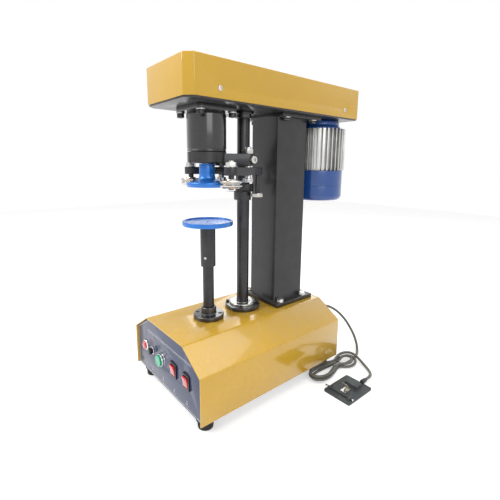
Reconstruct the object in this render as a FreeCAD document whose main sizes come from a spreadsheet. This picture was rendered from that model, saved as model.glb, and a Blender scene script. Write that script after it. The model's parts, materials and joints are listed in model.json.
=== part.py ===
import FreeCAD, Part
import math
import os
import re
import Sketcher
from FreeCAD import Rotation, Vector

# Bench can seamer. X is across the machine, -Y its front, +Z up; the origin is
# the centre of the base's footprint on the bench. All sizes are millimetres.

os.makedirs("parts", exist_ok=True)
doc = FreeCAD.newDocument("CanSeamer")

# ---------------------------------------------------------------- sizes

SIZES = {
    # base housing
    "base_width": 301, "base_depth": 427, "base_bottom": 27.4, "base_top": 170.3,
    "side_top": 128.6, "roof_half": 84.7, "base_wall": 2.5, "floor_thick": 6,
    "panel_recess": 5, "panel_thick": 3, "panel_gap": 0.6,
    "foot_x": 121, "foot_y": 184, "foot_radius": 18,
    # head
    "head_width": 179, "head_front": -192.5, "head_back": 335.4, "head_bottom": 649.5,
    "head_top": 723.6, "head_chamfer": 15.8, "head_wall": 2, "plate_drop": 3.5,
    "plate_thick": 12, "lip_height": 32, "lip_thick": 4, "lid_gap": 0.5,
    "lid_screw_front": -120, "lid_screw_back": 277, "lid_screw_z": 668, "lid_screw": 2.5,
    # column
    "column_half": 47.5, "column_front": 76.7, "column_back": 178.6, "column_wall": 6,
    "foot_plate_half": 69, "foot_plate_front": 66.6, "foot_plate_back": 198.2,
    "foot_plate_thick": 10, "head_flange_back": 208, "head_flange_thick": 8,
    "column_bolt_x": 58.5, "bolt_radius": 4.5, "column_bolt_front": 88, "column_bolt_back": 170,
    "head_bolt_front": 95, "head_bolt_back": 188,
    # seaming spindle
    "spindle_y": -93.4, "housing_radius": 43, "nose_radius": 33, "housing_shoulder": 554,
    "nose_bottom": 529, "flange_corner": 80, "flange_thick": 10, "flange_bolt": 60, "housing_bolt": 5,
    "spindle_radius": 15, "running_gap": 0.06, "seat_gap": 0.03, "bolt_gap": 0.2,
    "chuck_bottom": 480.3, "chuck_rim": 46, "chuck_lip": 3.3, "chuck_hub": 17.5,
    # arm bracket, arms and rollers
    "ring_radius": 42.6, "ring_top": 553, "ring_bottom": 530, "ear_top": 550,
    "ear_bottom": 524, "pivot_x": 51.3, "pivot_y": -17.7, "ear_radius": 14,
    "pin_radius": 7, "pin_foot": 488, "pin_above_ear": 15, "pin_nut_corner": 12.7,
    "pin_nut_height": 11, "pin_lock_corner": 12.1, "clamp_screw": 5, "boss_radius": 9.5, "boss_end": 94,
    "arm_top": 521, "arm_bottom": 504, "roller_x": 79.5, "axle_stub": 13, "axle_nut_corner": 12.1,
    "axle_nut_height": 10, "follower_axle": 5, "follower_axle_end": 3,
    "roller_y": -86.6, "roller_radius": 24, "roller_top": 497, "roller_bottom": 478,
    "axle_radius": 6, "arm_nose": 15, "arm_tail": 11, "arm_boss": 16,
    "follower_x": 36.9, "follower_y": 22.7, "follower_radius": 14.2,
    "low_follower_top": 461, "high_follower_top": 479.5, "follower_thick": 9.4,
    # camshaft
    "cam_y": 10, "camshaft_radius": 15, "camshaft_bottom": 37, "camshaft_top": 656,
    "cam_lobe": 24.7, "cam_base": 19, "cams_bottom": 443, "cams_top": 482,
    "cams_middle": 464, "upper_lobe_turn": 50, "cam_flange": 44, "cam_flange_thick": 10, "cap_radius": 32.5,
    "cap_thick": 5, "flange_screw": 2.5, "top_bearing_radius": 19, "top_bearing_bottom": 632,
    "gear_teeth": 30, "pinion_teeth": 12, "gear_module": 3, "gear_bottom": 56,
    "gear_thick": 12, "lift_cam_radius": 34, "lift_cam_bottom": 100,
    # lifter
    "lift_flange": 36, "lift_flange_thick": 10, "lift_hub": 18, "lift_hub_top": 197,
    "rod_radius": 13, "rod_top": 330, "rod_bottom": 83.9, "sleeve_radius": 17.5,
    "sleeve_bottom": 295.5, "sleeve_top": 390.4, "sleeve_bore": 13.3, "sleeve_screw": 3,
    "sleeve_screw_z": 317, "sleeve_screw_angle": 55,
    "plate_radius": 57.5, "plate_bottom": 390.8, "plate_top": 398, "rim_top": 401.5,
    "rim_wide": 3.5, "stem_radius": 8, "lever_y": -45, "lever_z": 85.6,
    "lever_front": 48.4, "lever_back": 29, "lever_angle": 12, "lever_ball": 8,
    "lever_half": 7,
    # drive
    "motor_y": 282, "motor_top": 624.5, "motor_bottom": 513, "motor_core": 64,
    "fin_radius": 76, "fin_count": 36, "fin_thick": 4, "bell_radius": 57,
    "cover_radius": 71.5, "cover_bottom": 430.8, "cover_groove": 471.5,
    "motor_shaft": 9.5, "belt_bottom": 682, "belt_tall": 9, "belt_thick": 7,
    "motor_pulley": 34, "spindle_pulley": 52, "pulley_lip": 4,
    # control panel
    "control_z": 93, "lamp_x": -102, "fuse_x": -67, "button_x": -16.4,
    "power_x": 36.5, "mode_x": 90, "lamp_radius": 13, "fuse_radius": 9,
    "button_radius": 15, "button_reach": 8, "cap_reach": 5, "button_travel": 3,
    "rocker_wide": 21, "rocker_tall": 27, "bezel_wide": 26, "bezel_tall": 33,
    # foot switch and its lead
    "pedal_x": 237, "pedal_front": 95, "pedal_back": 180, "pedal_wide": 70,
    "pedal_low": 20, "pedal_high": 36, "cord_radius": 3.4, "rear_gland_x": 70,
    "rear_gland_z": 134, "inlet_x": -104, "inlet_z": 84, "pedal_gland_x": 247, "pedal_gland_z": 9,
    "hank_front_x": 160, "hank_front_y": 124, "hank_front": 22, "hank_waist_x": 158, "hank_waist_y": 203,
    "hank_waist": 11, "hank_back_x": 166, "hank_back_y": 246, "hank_back": 25, "hank_height": 20,
}

sheet = doc.addObject("Spreadsheet::Sheet", "Sizes")
for row, (alias, number) in enumerate(SIZES.items(), start=1):
    sheet.set(f"A{row}", alias)
    sheet.set(f"B{row}", str(number))
    sheet.setAlias(f"B{row}", alias)
doc.recompute()


def bound(expression):
    """An expression with every size's name given its sheet."""
    return re.sub(r"[a-z][a-z_]+",
                  lambda word: "Sizes." + word.group(0) if word.group(0) in SIZES else word.group(0),
                  str(expression))


def value(expression):
    """The number an expression has now."""
    return float(sheet.evalExpression(bound(expression)))


# ---------------------------------------------------------------- sketch tools

def new_body(label, x="0", y="0", z="0"):
    """A body whose own origin stands at x, y, z."""
    body = doc.addObject("PartDesign::Body", label)
    body.Label = label
    for axis, place in zip("xyz", (x, y, z)):
        body.setExpression(f"Placement.Base.{axis}", bound(place))
    return body


def origin_feature(body, role):
    """The body's own plane or axis with this role."""
    return next(item for item in body.Origin.OriginFeatures if item.Role == role)


def sketch_on(body, plane, offset="0"):
    """A sketch on the body's plane, moved along the plane's normal."""
    sketch = body.newObject("Sketcher::SketchObject", f"{body.Label}_sketch")
    sketch.AttachmentSupport = [(origin_feature(body, f"{plane}_Plane"), "")]
    sketch.MapMode = "FlatFace"
    sketch.setExpression("AttachmentOffset.Base.z", bound(offset))
    return sketch


def pin_point(sketch, geometry, end, x, y):
    """Dimensions that hold one point of the sketch at x, y."""
    for kind, expression in (("DistanceX", x), ("DistanceY", y)):
        index = sketch.addConstraint(
            Sketcher.Constraint(kind, -1, 1, geometry, end, value(expression)))
        sketch.setExpression(f"Constraints[{index}]", bound(expression))


def polygon(sketch, corners):
    """A closed outline of straight sides through the corners."""
    spots = [Vector(value(x), value(y), 0) for x, y in corners]
    first = sketch.GeometryCount
    count = len(corners)
    for index in range(count):
        side = Part.LineSegment(spots[index], spots[(index + 1) % count])
        sketch.addGeometry(side, False)
    for index in range(count):
        after = first + (index + 1) % count
        sketch.addConstraint(Sketcher.Constraint("Coincident", first + index, 2, after, 1))
    for index, (x, y) in enumerate(corners):
        pin_point(sketch, first + index, 1, x, y)


def rectangle(sketch, left, right, low, high):
    """A rectangle between two places across and two up."""
    polygon(sketch, [(left, low), (right, low), (right, high), (left, high)])


def circle(sketch, x, y, radius):
    """A circle with its centre and radius bound."""
    centre = Vector(value(x), value(y), 0)
    index = sketch.addGeometry(Part.Circle(centre, Vector(0, 0, 1), value(radius)), False)
    pin_point(sketch, index, 3, x, y)
    held = sketch.addConstraint(Sketcher.Constraint("Radius", index, value(radius)))
    sketch.setExpression(f"Constraints[{held}]", bound(radius))


def hexagon(sketch, x, y, corner):
    """Hexagon with the given centre and corner radius."""
    half, tall = f"0.5 * {corner}", f"{math.sqrt(0.75)} * {corner}"
    polygon(sketch, [(f"{x} + {across}", f"{y} + {up}") for across, up in (
        (corner, "0"), (half, tall), (f"-{half}", tall), (f"-{corner}", "0"), (f"-{half}", f"-{tall}"),
        (half, f"-{tall}"))])


def link_outline(sketch, start, start_radius, end, end_radius):
    """Two round ends joined by their outer tangents: a link, a belt or a slot."""
    a = Vector(value(start[0]), value(start[1]), 0)
    b = Vector(value(end[0]), value(end[1]), 0)
    ra = value(start_radius)
    rb = value(end_radius)
    heading = math.atan2(b.y - a.y, b.x - a.x)
    lean = math.acos((ra - rb) / a.distanceToPoint(b))
    first = sketch.GeometryCount
    up = Vector(0, 0, 1)
    back = Part.ArcOfCircle(Part.Circle(a, up, ra), heading + lean, heading - lean + 2 * math.pi)
    front = Part.ArcOfCircle(Part.Circle(b, up, rb), heading - lean, heading + lean)
    low = Part.LineSegment(back.EndPoint, front.StartPoint)
    high = Part.LineSegment(front.EndPoint, back.StartPoint)
    sketch.addGeometry([back, low, front, high], False)
    for index in range(4):
        sketch.addConstraint(
            Sketcher.Constraint("Tangent", first + index, 2, first + (index + 1) % 4, 1))
    pin_point(sketch, first, 3, *start)
    pin_point(sketch, first + 2, 3, *end)
    for index, radius in ((first, start_radius), (first + 2, end_radius)):
        held = sketch.addConstraint(Sketcher.Constraint("Radius", index, value(radius)))
        sketch.setExpression(f"Constraints[{held}]", bound(radius))


# ---------------------------------------------------------------- feature tools

def pad(body, sketch, length, both_ways=False, reverse=False):
    """Material along the sketch's normal."""
    feature = body.newObject("PartDesign::Pad", f"{body.Label}_pad")
    feature.Profile = sketch
    feature.SideType = "Symmetric" if both_ways else "One side"
    feature.Reversed = reverse
    feature.setExpression("Length", bound(length))
    return feature


def pocket(body, sketch, length, both_ways=False, reverse=False):
    """A cut against the sketch's normal, or along it in reverse."""
    feature = body.newObject("PartDesign::Pocket", f"{body.Label}_pocket")
    feature.Profile = sketch
    feature.SideType = "Symmetric" if both_ways else "One side"
    feature.Reversed = reverse
    feature.setExpression("Length", bound(length))
    return feature


def turned(label, corners, x="0", y="0", z="0"):
    """A body turned about its own Z axis from a half profile of (radius, height)."""
    body = new_body(label, x, y, z)
    spin(body, corners)
    return body


def spin(body, corners, cut=False):
    """A revolved half profile of (radius, height), added to the body or cut from it."""
    sketch = sketch_on(body, "XZ")
    polygon(sketch, corners)
    kind = "Groove" if cut else "Revolution"
    feature = body.newObject(f"PartDesign::{kind}", f"{body.Label}_{kind.lower()}")
    feature.Profile = sketch
    feature.ReferenceAxis = (sketch, ["V_Axis"])
    feature.Angle = 360
    return feature


def around(body, features, count):
    """The features repeated round the body's own Z axis."""
    pattern = body.newObject("PartDesign::PolarPattern", f"{body.Label}_pattern")
    pattern.Originals = features
    pattern.Axis = (origin_feature(body, "Z_Axis"), [""])
    pattern.Angle = 360
    pattern.setExpression("Occurrences", bound(count))
    body.Tip = pattern
    return pattern


def upright_holes(body, places, radius, top, depth):
    """Round holes cut down from the height top."""
    sketch = sketch_on(body, "XY", top)
    for x, y in places:
        circle(sketch, x, y, radius)
    return pocket(body, sketch, depth)


def soften(body, feature_type, size, wanted):
    """A fillet or chamfer on the edges that the test wants, in the body's own frame."""
    doc.recompute()
    base = body.Tip
    names = [f"Edge{index}" for index, edge in enumerate(base.Shape.Edges, start=1) if wanted(edge)]
    feature = body.newObject(f"PartDesign::{feature_type}", f"{body.Label}_{feature_type.lower()}")
    feature.Base = (base, names)
    feature.setExpression("Radius" if feature_type == "Fillet" else "Size", bound(size))
    return feature


def is_upright(edge):
    """True for a straight edge along Z."""
    ends = [vertex.Point for vertex in edge.Vertexes]
    return len(ends) == 2 and abs(ends[0].x - ends[1].x) + abs(ends[0].y - ends[1].y) < 1e-6


def is_level_at(height):
    """A test for edges that lie at one height."""
    def test(edge):
        box = edge.BoundBox
        return abs(box.ZMin - height) < 1e-4 and abs(box.ZMax - height) < 1e-4
    return test


# ---------------------------------------------------------------- fasteners

def primitive(kind, label, sizes, x="0", y="0", z="0", turn=None):
    """A Part primitive with its sizes and place bound."""
    item = doc.addObject(f"Part::{kind}", label)
    for name, expression in sizes.items():
        item.setExpression(name, bound(expression))
    if turn:
        item.Placement = FreeCAD.Placement(Vector(), Rotation(*turn))
    for axis, place in zip("xyz", (x, y, z)):
        item.setExpression(f"Placement.Base.{axis}", bound(place))
    return item


def group(label, items):
    """Separate solids kept in one node."""
    compound = doc.addObject("Part::Compound", label)
    compound.Label = label
    compound.Links = items
    return compound


def joined(label, items):
    """Pieces welded into one solid."""
    fused = doc.addObject("Part::MultiFuse", label)
    fused.Label = label
    fused.Shapes = items
    fused.Refine = True
    return fused


DOWN = (Vector(1, 0, 0), 180)
UP = (Vector(1, 0, 0), 0)
RIGHT = (Vector(0, 1, 0), 90)
LEFT = (Vector(0, 1, 0), -90)


def screw(label, thread, head_radius, head_height, length, place, turn, hexagon=False, washer="0"):
    """A screw whose head's underside is at place and whose head points along turned +Z."""
    x, y, z = place
    pieces = []
    pieces.append(primitive("Cylinder", f"{label}_shank", {"Radius": thread, "Height": length},
                            x, y, z, turn=(turn[0], turn[1] + 180)))
    axis = Rotation(*turn).multVec(Vector(0, 0, 1))
    raised = [f"{start} + {washer} * {round(step)}" for start, step in zip(place, axis)]
    if hexagon:
        head = doc.addObject("Part::Prism", f"{label}_head")
        head.Polygon = 6
        head.setExpression("Circumradius", bound(head_radius))
        head.setExpression("Height", bound(head_height))
        head.Placement = FreeCAD.Placement(Vector(), Rotation(*turn))
        for name, expression in zip("xyz", raised):
            head.setExpression(f"Placement.Base.{name}", bound(expression))
    else:
        head = primitive("Cylinder", f"{label}_head",
                         {"Radius": head_radius, "Height": head_height}, *raised, turn=turn)
    pieces.append(head)
    if washer != "0":
        pieces.append(primitive("Cylinder", f"{label}_washer",
                                {"Radius": f"{head_radius} * 1.3", "Height": washer},
                                x, y, z, turn=turn))
    return joined(label, pieces)


# ---------------------------------------------------------------- base housing

def roof_outline(inset):
    """The housing's end view: upright sides, sloped shoulders and a flat top."""
    side = f"base_width / 2 - {inset}"
    roof = f"roof_half - {inset} * 0.4"
    return [(f"-({side})", "base_bottom"), (side, "base_bottom"), (side, f"side_top - {inset} * 0.3"),
            (roof, f"base_top - {inset}"), (f"-({roof})", f"base_top - {inset}"),
            (f"-({side})", f"side_top - {inset} * 0.3")]


def base_cover():
    """Folded yellow cover, open at the ends and underneath."""
    body = new_body("base_cover")
    outer = sketch_on(body, "XZ")
    polygon(outer, roof_outline("0"))
    pad(body, outer, "base_depth", both_ways=True)
    inner = sketch_on(body, "XZ")
    polygon(inner, [(x, z.replace("base_bottom", "base_bottom - 1")) for x, z in roof_outline("base_wall")])
    pocket(body, inner, "base_depth + 2", both_ways=True)
    upright_holes(body, [("0", "spindle_y")], "lift_hub + 1", "base_top + 1", "base_wall + 2")
    upright_holes(body, [("0", "cam_y")], "camshaft_radius + 8", "base_top + 1", "base_wall + 2")
    return body


def base_plate():
    """Thick floor that carries the drive, the feet and the folded cover."""
    body = new_body("base_plate")
    sketch = sketch_on(body, "XY", "base_bottom")
    half = "base_width / 2 - base_wall"
    deep = "base_depth / 2 - panel_recess - panel_thick"
    rectangle(sketch, f"-({half})", half, f"-({deep})", deep)
    pad(body, sketch, "floor_thick")
    upright_holes(body, [("0", "cam_y")], "camshaft_radius - 4", "base_bottom + floor_thick", "2")
    return body


def support_frame():
    """Box inside the cover that carries the column down to the floor plate."""
    body = new_body("support_frame")
    sketch = sketch_on(body, "XY", "base_bottom + floor_thick")
    wide = "foot_plate_half"
    rectangle(sketch, f"-{wide}", wide, "foot_plate_front", "foot_plate_back")
    pad(body, sketch, "base_top - base_wall - base_bottom - floor_thick")
    hollow = sketch_on(body, "XY", "base_bottom + floor_thick")
    rectangle(hollow, f"-({wide} - 5)", f"{wide} - 5", "foot_plate_front - 1", "foot_plate_back + 1")
    pocket(body, hollow, "base_top - base_wall - base_bottom - floor_thick - 8", reverse=True)
    return body


def rubber_feet():
    """Four tapered feet screwed under the floor plate."""
    feet = []
    for side in ("-", ""):
        for end in ("-", ""):
            name = f"rubber_foot_{len(feet)}"
            feet.append(primitive("Cone", name, {"Radius1": "foot_radius * 0.86",
                                  "Radius2": "foot_radius", "Height": "base_bottom"},
                                  f"{side}foot_x", f"{end}foot_y", "0"))
    return group("rubber_feet", feet)


def end_panel(label, front):
    """Flat plate that closes one end of the cover, a little way in."""
    body = new_body(label)
    face = "base_depth / 2 - panel_recess"
    sketch = sketch_on(body, "XZ", face if front else f"-({face} - panel_thick)")
    polygon(sketch, [(x, z.replace("base_bottom", "(base_bottom + 1)"))
                     for x, z in roof_outline("(base_wall + panel_gap)")])
    pad(body, sketch, "panel_thick", reverse=True)
    return body, face


CONTROLS = [("lamp_x", "lamp_radius - 2"), ("fuse_x", "fuse_radius - 1.6"),
            ("button_x", "button_radius - 4")]
ROCKERS = ["power_x", "mode_x"]


def front_panel():
    """Control panel with its lamp, fuse, button and rocker holes."""
    body, face = end_panel("front_panel", True)
    round_holes = sketch_on(body, "XZ", f"{face} + 1")
    for x, radius in CONTROLS:
        circle(round_holes, x, "control_z", radius)
    pocket(body, round_holes, "panel_thick + 2")
    square_holes = sketch_on(body, "XZ", f"{face} + 1")
    for x in ROCKERS:
        rectangle(square_holes, f"{x} - rocker_wide / 2 - 0.8", f"{x} + rocker_wide / 2 + 0.8",
                  "control_z - rocker_tall / 2 - 0.8", "control_z + rocker_tall / 2 + 0.8")
    pocket(body, square_holes, "panel_thick + 2")
    return body


def rear_panel():
    """Rear plate with the openings for the mains inlet and the foot switch's lead."""
    body, face = end_panel("rear_panel", False)
    holes = sketch_on(body, "XZ", f"-({face} + 1)")
    rectangle(holes, "inlet_x - 14", "inlet_x + 14", "inlet_z - 11", "inlet_z + 11")
    circle(holes, "rear_gland_x", "rear_gland_z", "cord_radius + 3")
    pocket(body, holes, "panel_thick + 2", reverse=True)
    return body


def mains_inlet():
    """Appliance inlet with three pins, sunk in the rear plate."""
    body = new_body("mains_inlet", x="inlet_x", y="base_depth / 2 - panel_recess", z="inlet_z")
    rim = sketch_on(body, "XZ", "-2.5")
    rectangle(rim, "-25", "25", "-13", "13")
    pad(body, rim, "2.5")
    shell = sketch_on(body, "XZ", "0")
    rectangle(shell, "-13.8", "13.8", "-10.8", "10.8")
    pad(body, shell, "22")
    well = sketch_on(body, "XZ", "-3")
    rectangle(well, "-12", "12", "-8", "8")
    pocket(body, well, "20", reverse=True)
    pins = sketch_on(body, "XZ", "18")
    for x, z in (("-7", "-2"), ("0", "2"), ("7", "-2")):
        rectangle(pins, f"{x} - 1", f"{x} + 1", f"{z} - 2.5", f"{z} + 2.5")
    pad(body, pins, "15", reverse=True)
    return body


# ---------------------------------------------------------------- column and head

def column():
    """Square tube welded between its foot plate and its head flange."""
    body = new_body("column")
    height = "head_bottom - plate_drop - base_top"
    tube = sketch_on(body, "XY", "base_top")
    rectangle(tube, "-column_half", "column_half", "column_front", "column_back")
    pad(body, tube, height)
    soften(body, "Fillet", "4", is_upright)
    foot = sketch_on(body, "XY", "base_top")
    rectangle(foot, "-foot_plate_half", "foot_plate_half", "foot_plate_front", "foot_plate_back")
    pad(body, foot, "foot_plate_thick")
    head = sketch_on(body, "XY", "head_bottom - plate_drop - head_flange_thick")
    rectangle(head, "-foot_plate_half", "foot_plate_half", "foot_plate_front + 4", "head_flange_back")
    pad(body, head, "head_flange_thick")
    bore = sketch_on(body, "XY", "base_top - 1")
    rectangle(bore, "-(column_half - column_wall)", "column_half - column_wall",
              "column_front + column_wall", "column_back - column_wall")
    pocket(body, bore, f"{height} + 2", reverse=True)
    foot_holes = sketch_on(body, "XY", "base_top - 1")
    head_holes = sketch_on(body, "XY", "head_bottom - plate_drop - head_flange_thick - 1")
    for x in ("-column_bolt_x", "column_bolt_x"):
        for y in ("column_bolt_front", "column_bolt_back"):
            circle(foot_holes, x, y, "bolt_radius + bolt_gap")
        for y in ("head_bolt_front", "head_bolt_back"):
            circle(head_holes, x, y, "bolt_radius + bolt_gap")
    pocket(body, foot_holes, "foot_plate_thick + 2", reverse=True)
    pocket(body, head_holes, "head_flange_thick + 2", reverse=True)
    return body


def head_plate():
    """Channel that carries the motor, the spindle and both shafts' top ends."""
    body = new_body("head_plate")
    half = "head_width / 2 - head_wall - lid_gap"
    low = "head_bottom - plate_drop"
    front = "head_front + head_wall + lid_gap"
    back = "head_back - head_wall - lid_gap"
    cut = "head_chamfer - 1"
    outline = [(f"-({half})", f"{front} + {cut}"), (f"-({half}) + {cut}", front),
               (f"{half} - ({cut})", front), (half, f"{front} + {cut}"), (half, back), (f"-({half})", back)]
    blank = sketch_on(body, "XY", low)
    polygon(blank, outline)
    pad(body, blank, "lip_height")
    trough = sketch_on(body, "XY", f"{low} + plate_thick")
    rectangle(trough, f"-({half} - lip_thick)", f"{half} - lip_thick", f"{front} - 1", f"{back} + 1")
    pocket(body, trough, "lip_height", reverse=True)
    upright_holes(body, [("0", "spindle_y")], "spindle_radius + 4", f"{low} + plate_thick + 1",
                  "plate_thick + 2")
    upright_holes(body, [("0", "cam_y")], "camshaft_radius + 2", f"{low} + plate_thick + 1",
                  "plate_thick + 2")
    upright_holes(body, [("0", "motor_y")], "motor_shaft + 6", f"{low} + plate_thick + 1",
                  "plate_thick + 2")
    side_holes(body)
    return body


def side_holes(body):
    """Holes for the lid's screws, through both sides at once."""
    sketch = sketch_on(body, "YZ")
    for y in ("lid_screw_front", "lid_screw_back"):
        circle(sketch, y, "lid_screw_z", "lid_screw + bolt_gap")
    pocket(body, sketch, "head_width + 2", both_ways=True)


def top_cover():
    """Folded yellow lid over the belt, bevelled at its two front corners."""
    body = new_body("top_cover")
    half = "head_width / 2"

    def outline(inset):
        across = f"{half} - {inset}"
        return [(f"-({across})", "head_front + head_chamfer + {0} * 0.4".format(inset)),
                (f"-({across}) + head_chamfer - {inset} * 0.6", f"head_front + {inset}"),
                (f"{across} - head_chamfer + {inset} * 0.6", f"head_front + {inset}"),
                (across, "head_front + head_chamfer + {0} * 0.4".format(inset)),
                (across, f"head_back - {inset}"), (f"-({across})", f"head_back - {inset}")]

    outer = sketch_on(body, "XY", "head_bottom")
    polygon(outer, outline("0"))
    pad(body, outer, "head_top - head_bottom")
    soften(body, "Fillet", "head_wall", is_level_at(value("head_top")))
    inner = sketch_on(body, "XY", "head_bottom")
    polygon(inner, outline("head_wall"))
    pocket(body, inner, "head_top - head_bottom - head_wall", reverse=True)
    side_holes(body)
    return body


def lid_screws():
    """Four small screws that hold the lid to the channel's lips."""
    screws = []
    for side, turn in (("-", LEFT), ("", RIGHT)):
        for y in ("lid_screw_front", "lid_screw_back"):
            screws.append(screw(f"lid_screw_{len(screws)}", "lid_screw", "5", "2.5",
                                "head_wall + lid_gap + 2",
                                (f"{side}head_width / 2", y, "lid_screw_z"), turn))
    return group("lid_screws", screws)


def frame_bolts():
    """Hexagon bolts with washers through the column's two flanges."""
    bolts = []
    under_head = "head_bottom - plate_drop - head_flange_thick"
    over_foot = "base_top + foot_plate_thick"
    for x in ("-column_bolt_x", "column_bolt_x"):
        for y in ("column_bolt_front", "column_bolt_back"):
            bolts.append(screw(f"foot_bolt_{len(bolts)}", "bolt_radius", "8.6", "6.4", "foot_plate_thick",
                               (x, y, over_foot), UP, True, "1.8"))
    for x in ("-column_bolt_x", "column_bolt_x"):
        for y in ("head_bolt_front", "head_bolt_back"):
            bolts.append(screw(f"head_bolt_{len(bolts)}", "bolt_radius", "8.6", "6.4", "head_flange_thick",
                               (x, y, under_head), DOWN, True, "1.8"))
    return group("frame_bolts", bolts)


# ---------------------------------------------------------------- seaming spindle

FLANGE_CORNERS = [("0", "-flange_bolt"), ("flange_bolt", "0"), ("0", "flange_bolt"), ("-flange_bolt", "0")]


def spindle_housing():
    """Bored cylinder hung by a square flange set cornerwise, with a nose for the clamp ring."""
    top = "head_bottom - plate_drop"
    body = new_body("spindle_housing", y="spindle_y")
    plate = sketch_on(body, "XY", f"{top} - flange_thick")
    polygon(plate, [("0", "-flange_corner"), ("flange_corner", "0"), ("0", "flange_corner"),
                    ("-flange_corner", "0")])
    pad(body, plate, "flange_thick")
    soften(body, "Fillet", "14", is_upright)
    spin(body, [("0", "nose_bottom"), ("nose_radius", "nose_bottom"), ("nose_radius", "housing_shoulder"),
                ("housing_radius", "housing_shoulder"), ("housing_radius", f"{top} - flange_thick - 6"),
                ("housing_radius - 2", f"{top} - flange_thick"), ("0", f"{top} - flange_thick")])
    land = "spindle_radius + running_gap"
    relief = "spindle_radius + 4"
    spin(body, [("0", "nose_bottom - 1"), (land, "nose_bottom - 1"), (land, "nose_bottom + 22"),
                (relief, "nose_bottom + 24"), (relief, f"{top} - 24"), (land, f"{top} - 22"),
                (land, f"{top} + 1"), ("0", f"{top} + 1")], cut=True)
    upright_holes(body, FLANGE_CORNERS, "housing_bolt + bolt_gap", f"{top} + 1", "flange_thick + 2")
    return body


def housing_bolts():
    """Socket bolts through the spindle housing's square flange."""
    bolts = []
    under = "head_bottom - plate_drop - flange_thick"
    for x, y in FLANGE_CORNERS:
        bolts.append(screw(f"housing_bolt_{len(bolts)}", "housing_bolt", "8", "9", "flange_thick",
                           (x, f"spindle_y + ({y})", under), DOWN, False, "2"))
    return bolts


def spindle():
    """Ground shaft from the chuck up to the driven pulley."""
    top = "belt_bottom + belt_tall + pulley_lip + 3"
    return turned("spindle", [("0", "chuck_bottom + chuck_lip + 3"), ("11", "chuck_bottom + chuck_lip + 3"),
        ("11", "nose_bottom - 0.5"), ("spindle_radius", "nose_bottom - 0.5"),
        ("spindle_radius", "belt_bottom - 12"), ("12", "belt_bottom - 12"), ("12", top), ("0", top)],
        y="spindle_y")


def seaming_chuck():
    """Chuck that fits the can's lid: hub, sweeping web and tapered rim."""
    body = turned("seaming_chuck", [
        ("11 + seat_gap", "chuck_bottom + chuck_lip + 3"), ("0", "chuck_bottom + chuck_lip + 3"),
        ("0", "chuck_bottom + 2.3"), ("chuck_rim - 9", "chuck_bottom + 2.3"),
        ("chuck_rim - 7", "chuck_bottom"), ("chuck_rim - 1.2", "chuck_bottom"),
        ("chuck_rim", "chuck_bottom + chuck_lip"), ("chuck_rim", "chuck_bottom + chuck_lip + 3"),
        ("chuck_rim - 2", "chuck_bottom + chuck_lip + 5"),
        ("chuck_hub + 9", "chuck_bottom + chuck_lip + 6"),
        ("chuck_hub + 3", "chuck_bottom + chuck_lip + 8"),
        ("chuck_hub", "chuck_bottom + chuck_lip + 13"), ("chuck_hub", "nose_bottom - 1"),
        ("11 + seat_gap", "nose_bottom - 1")], y="spindle_y")
    return body


def pulley(label, y, radius, bore, low_hub):
    """Grooved pulley with a dished web and a hub."""
    low = "belt_bottom - pulley_lip"
    high = "belt_bottom + belt_tall + pulley_lip"
    groove = f"{radius} - 2"
    rim = f"{radius} + belt_thick + 1"
    return turned(label, [
        (bore, low_hub), (f"{bore} + 8", low_hub), (f"{bore} + 8", low), (rim, low),
        (rim, f"{low} + pulley_lip - 0.6"), (groove, f"{low} + pulley_lip - 0.6"),
        (groove, f"{high} - pulley_lip + 0.6"), (rim, f"{high} - pulley_lip + 0.6"),
        (rim, high), (bore, high)], y=y)


def drive_belt():
    """Endless belt round both pulleys."""
    body = new_body("drive_belt")
    sketch = sketch_on(body, "XY", "belt_bottom")
    ends = (("0", "motor_y"), ("0", "spindle_y"))
    link_outline(sketch, ends[0], "motor_pulley + belt_thick", ends[1], "spindle_pulley + belt_thick")
    link_outline(sketch, ends[0], "motor_pulley", ends[1], "spindle_pulley")
    pad(body, sketch, "belt_tall")
    return body


# ---------------------------------------------------------------- arms and rollers

def arm_bracket():
    """Split ring clamped on the housing's nose, with an ear and a screw boss each side."""
    middle = "(ear_top + ear_bottom) / 2"
    body = new_body("arm_bracket")
    ring = sketch_on(body, "XY", "ring_bottom")
    circle(ring, "0", "spindle_y", "ring_radius")
    pad(body, ring, "ring_top - ring_bottom")
    for side in ("-", ""):
        ear = sketch_on(body, "XY", "ear_bottom")
        link_outline(ear, (f"{side}22", "spindle_y + 24"), "15",
                     (f"{side}pivot_x", "pivot_y"), "ear_radius")
        pad(body, ear, "ear_top - ear_bottom")
        boss = sketch_on(body, "YZ", f"{side}pivot_x")
        circle(boss, "pivot_y", middle, "boss_radius")
        pad(body, boss, "boss_end - pivot_x", reverse=side == "-")
    bore = sketch_on(body, "XY", "ear_bottom - 1")
    circle(bore, "0", "spindle_y", "nose_radius + seat_gap")
    pocket(body, bore, "ear_top", reverse=True)
    slit = sketch_on(body, "XY", "ear_bottom - 1")
    rectangle(slit, "-1.5", "1.5", "spindle_y - ring_radius - 1", "spindle_y - nose_radius + 1")
    pocket(body, slit, "ear_top", reverse=True)
    pins = sketch_on(body, "XY", "ear_bottom - 1")
    for side in ("-", ""):
        circle(pins, f"{side}pivot_x", "pivot_y", "pin_radius + seat_gap")
    pocket(body, pins, "ear_top", reverse=True)
    for side in ("-", ""):
        pinch = sketch_on(body, "YZ", f"{side}(boss_end + 1)")
        circle(pinch, "pivot_y", middle, "clamp_screw + bolt_gap")
        pocket(body, pinch, "boss_end - pivot_x - pin_radius + 1.5", reverse=side == "-")
    return body


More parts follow.
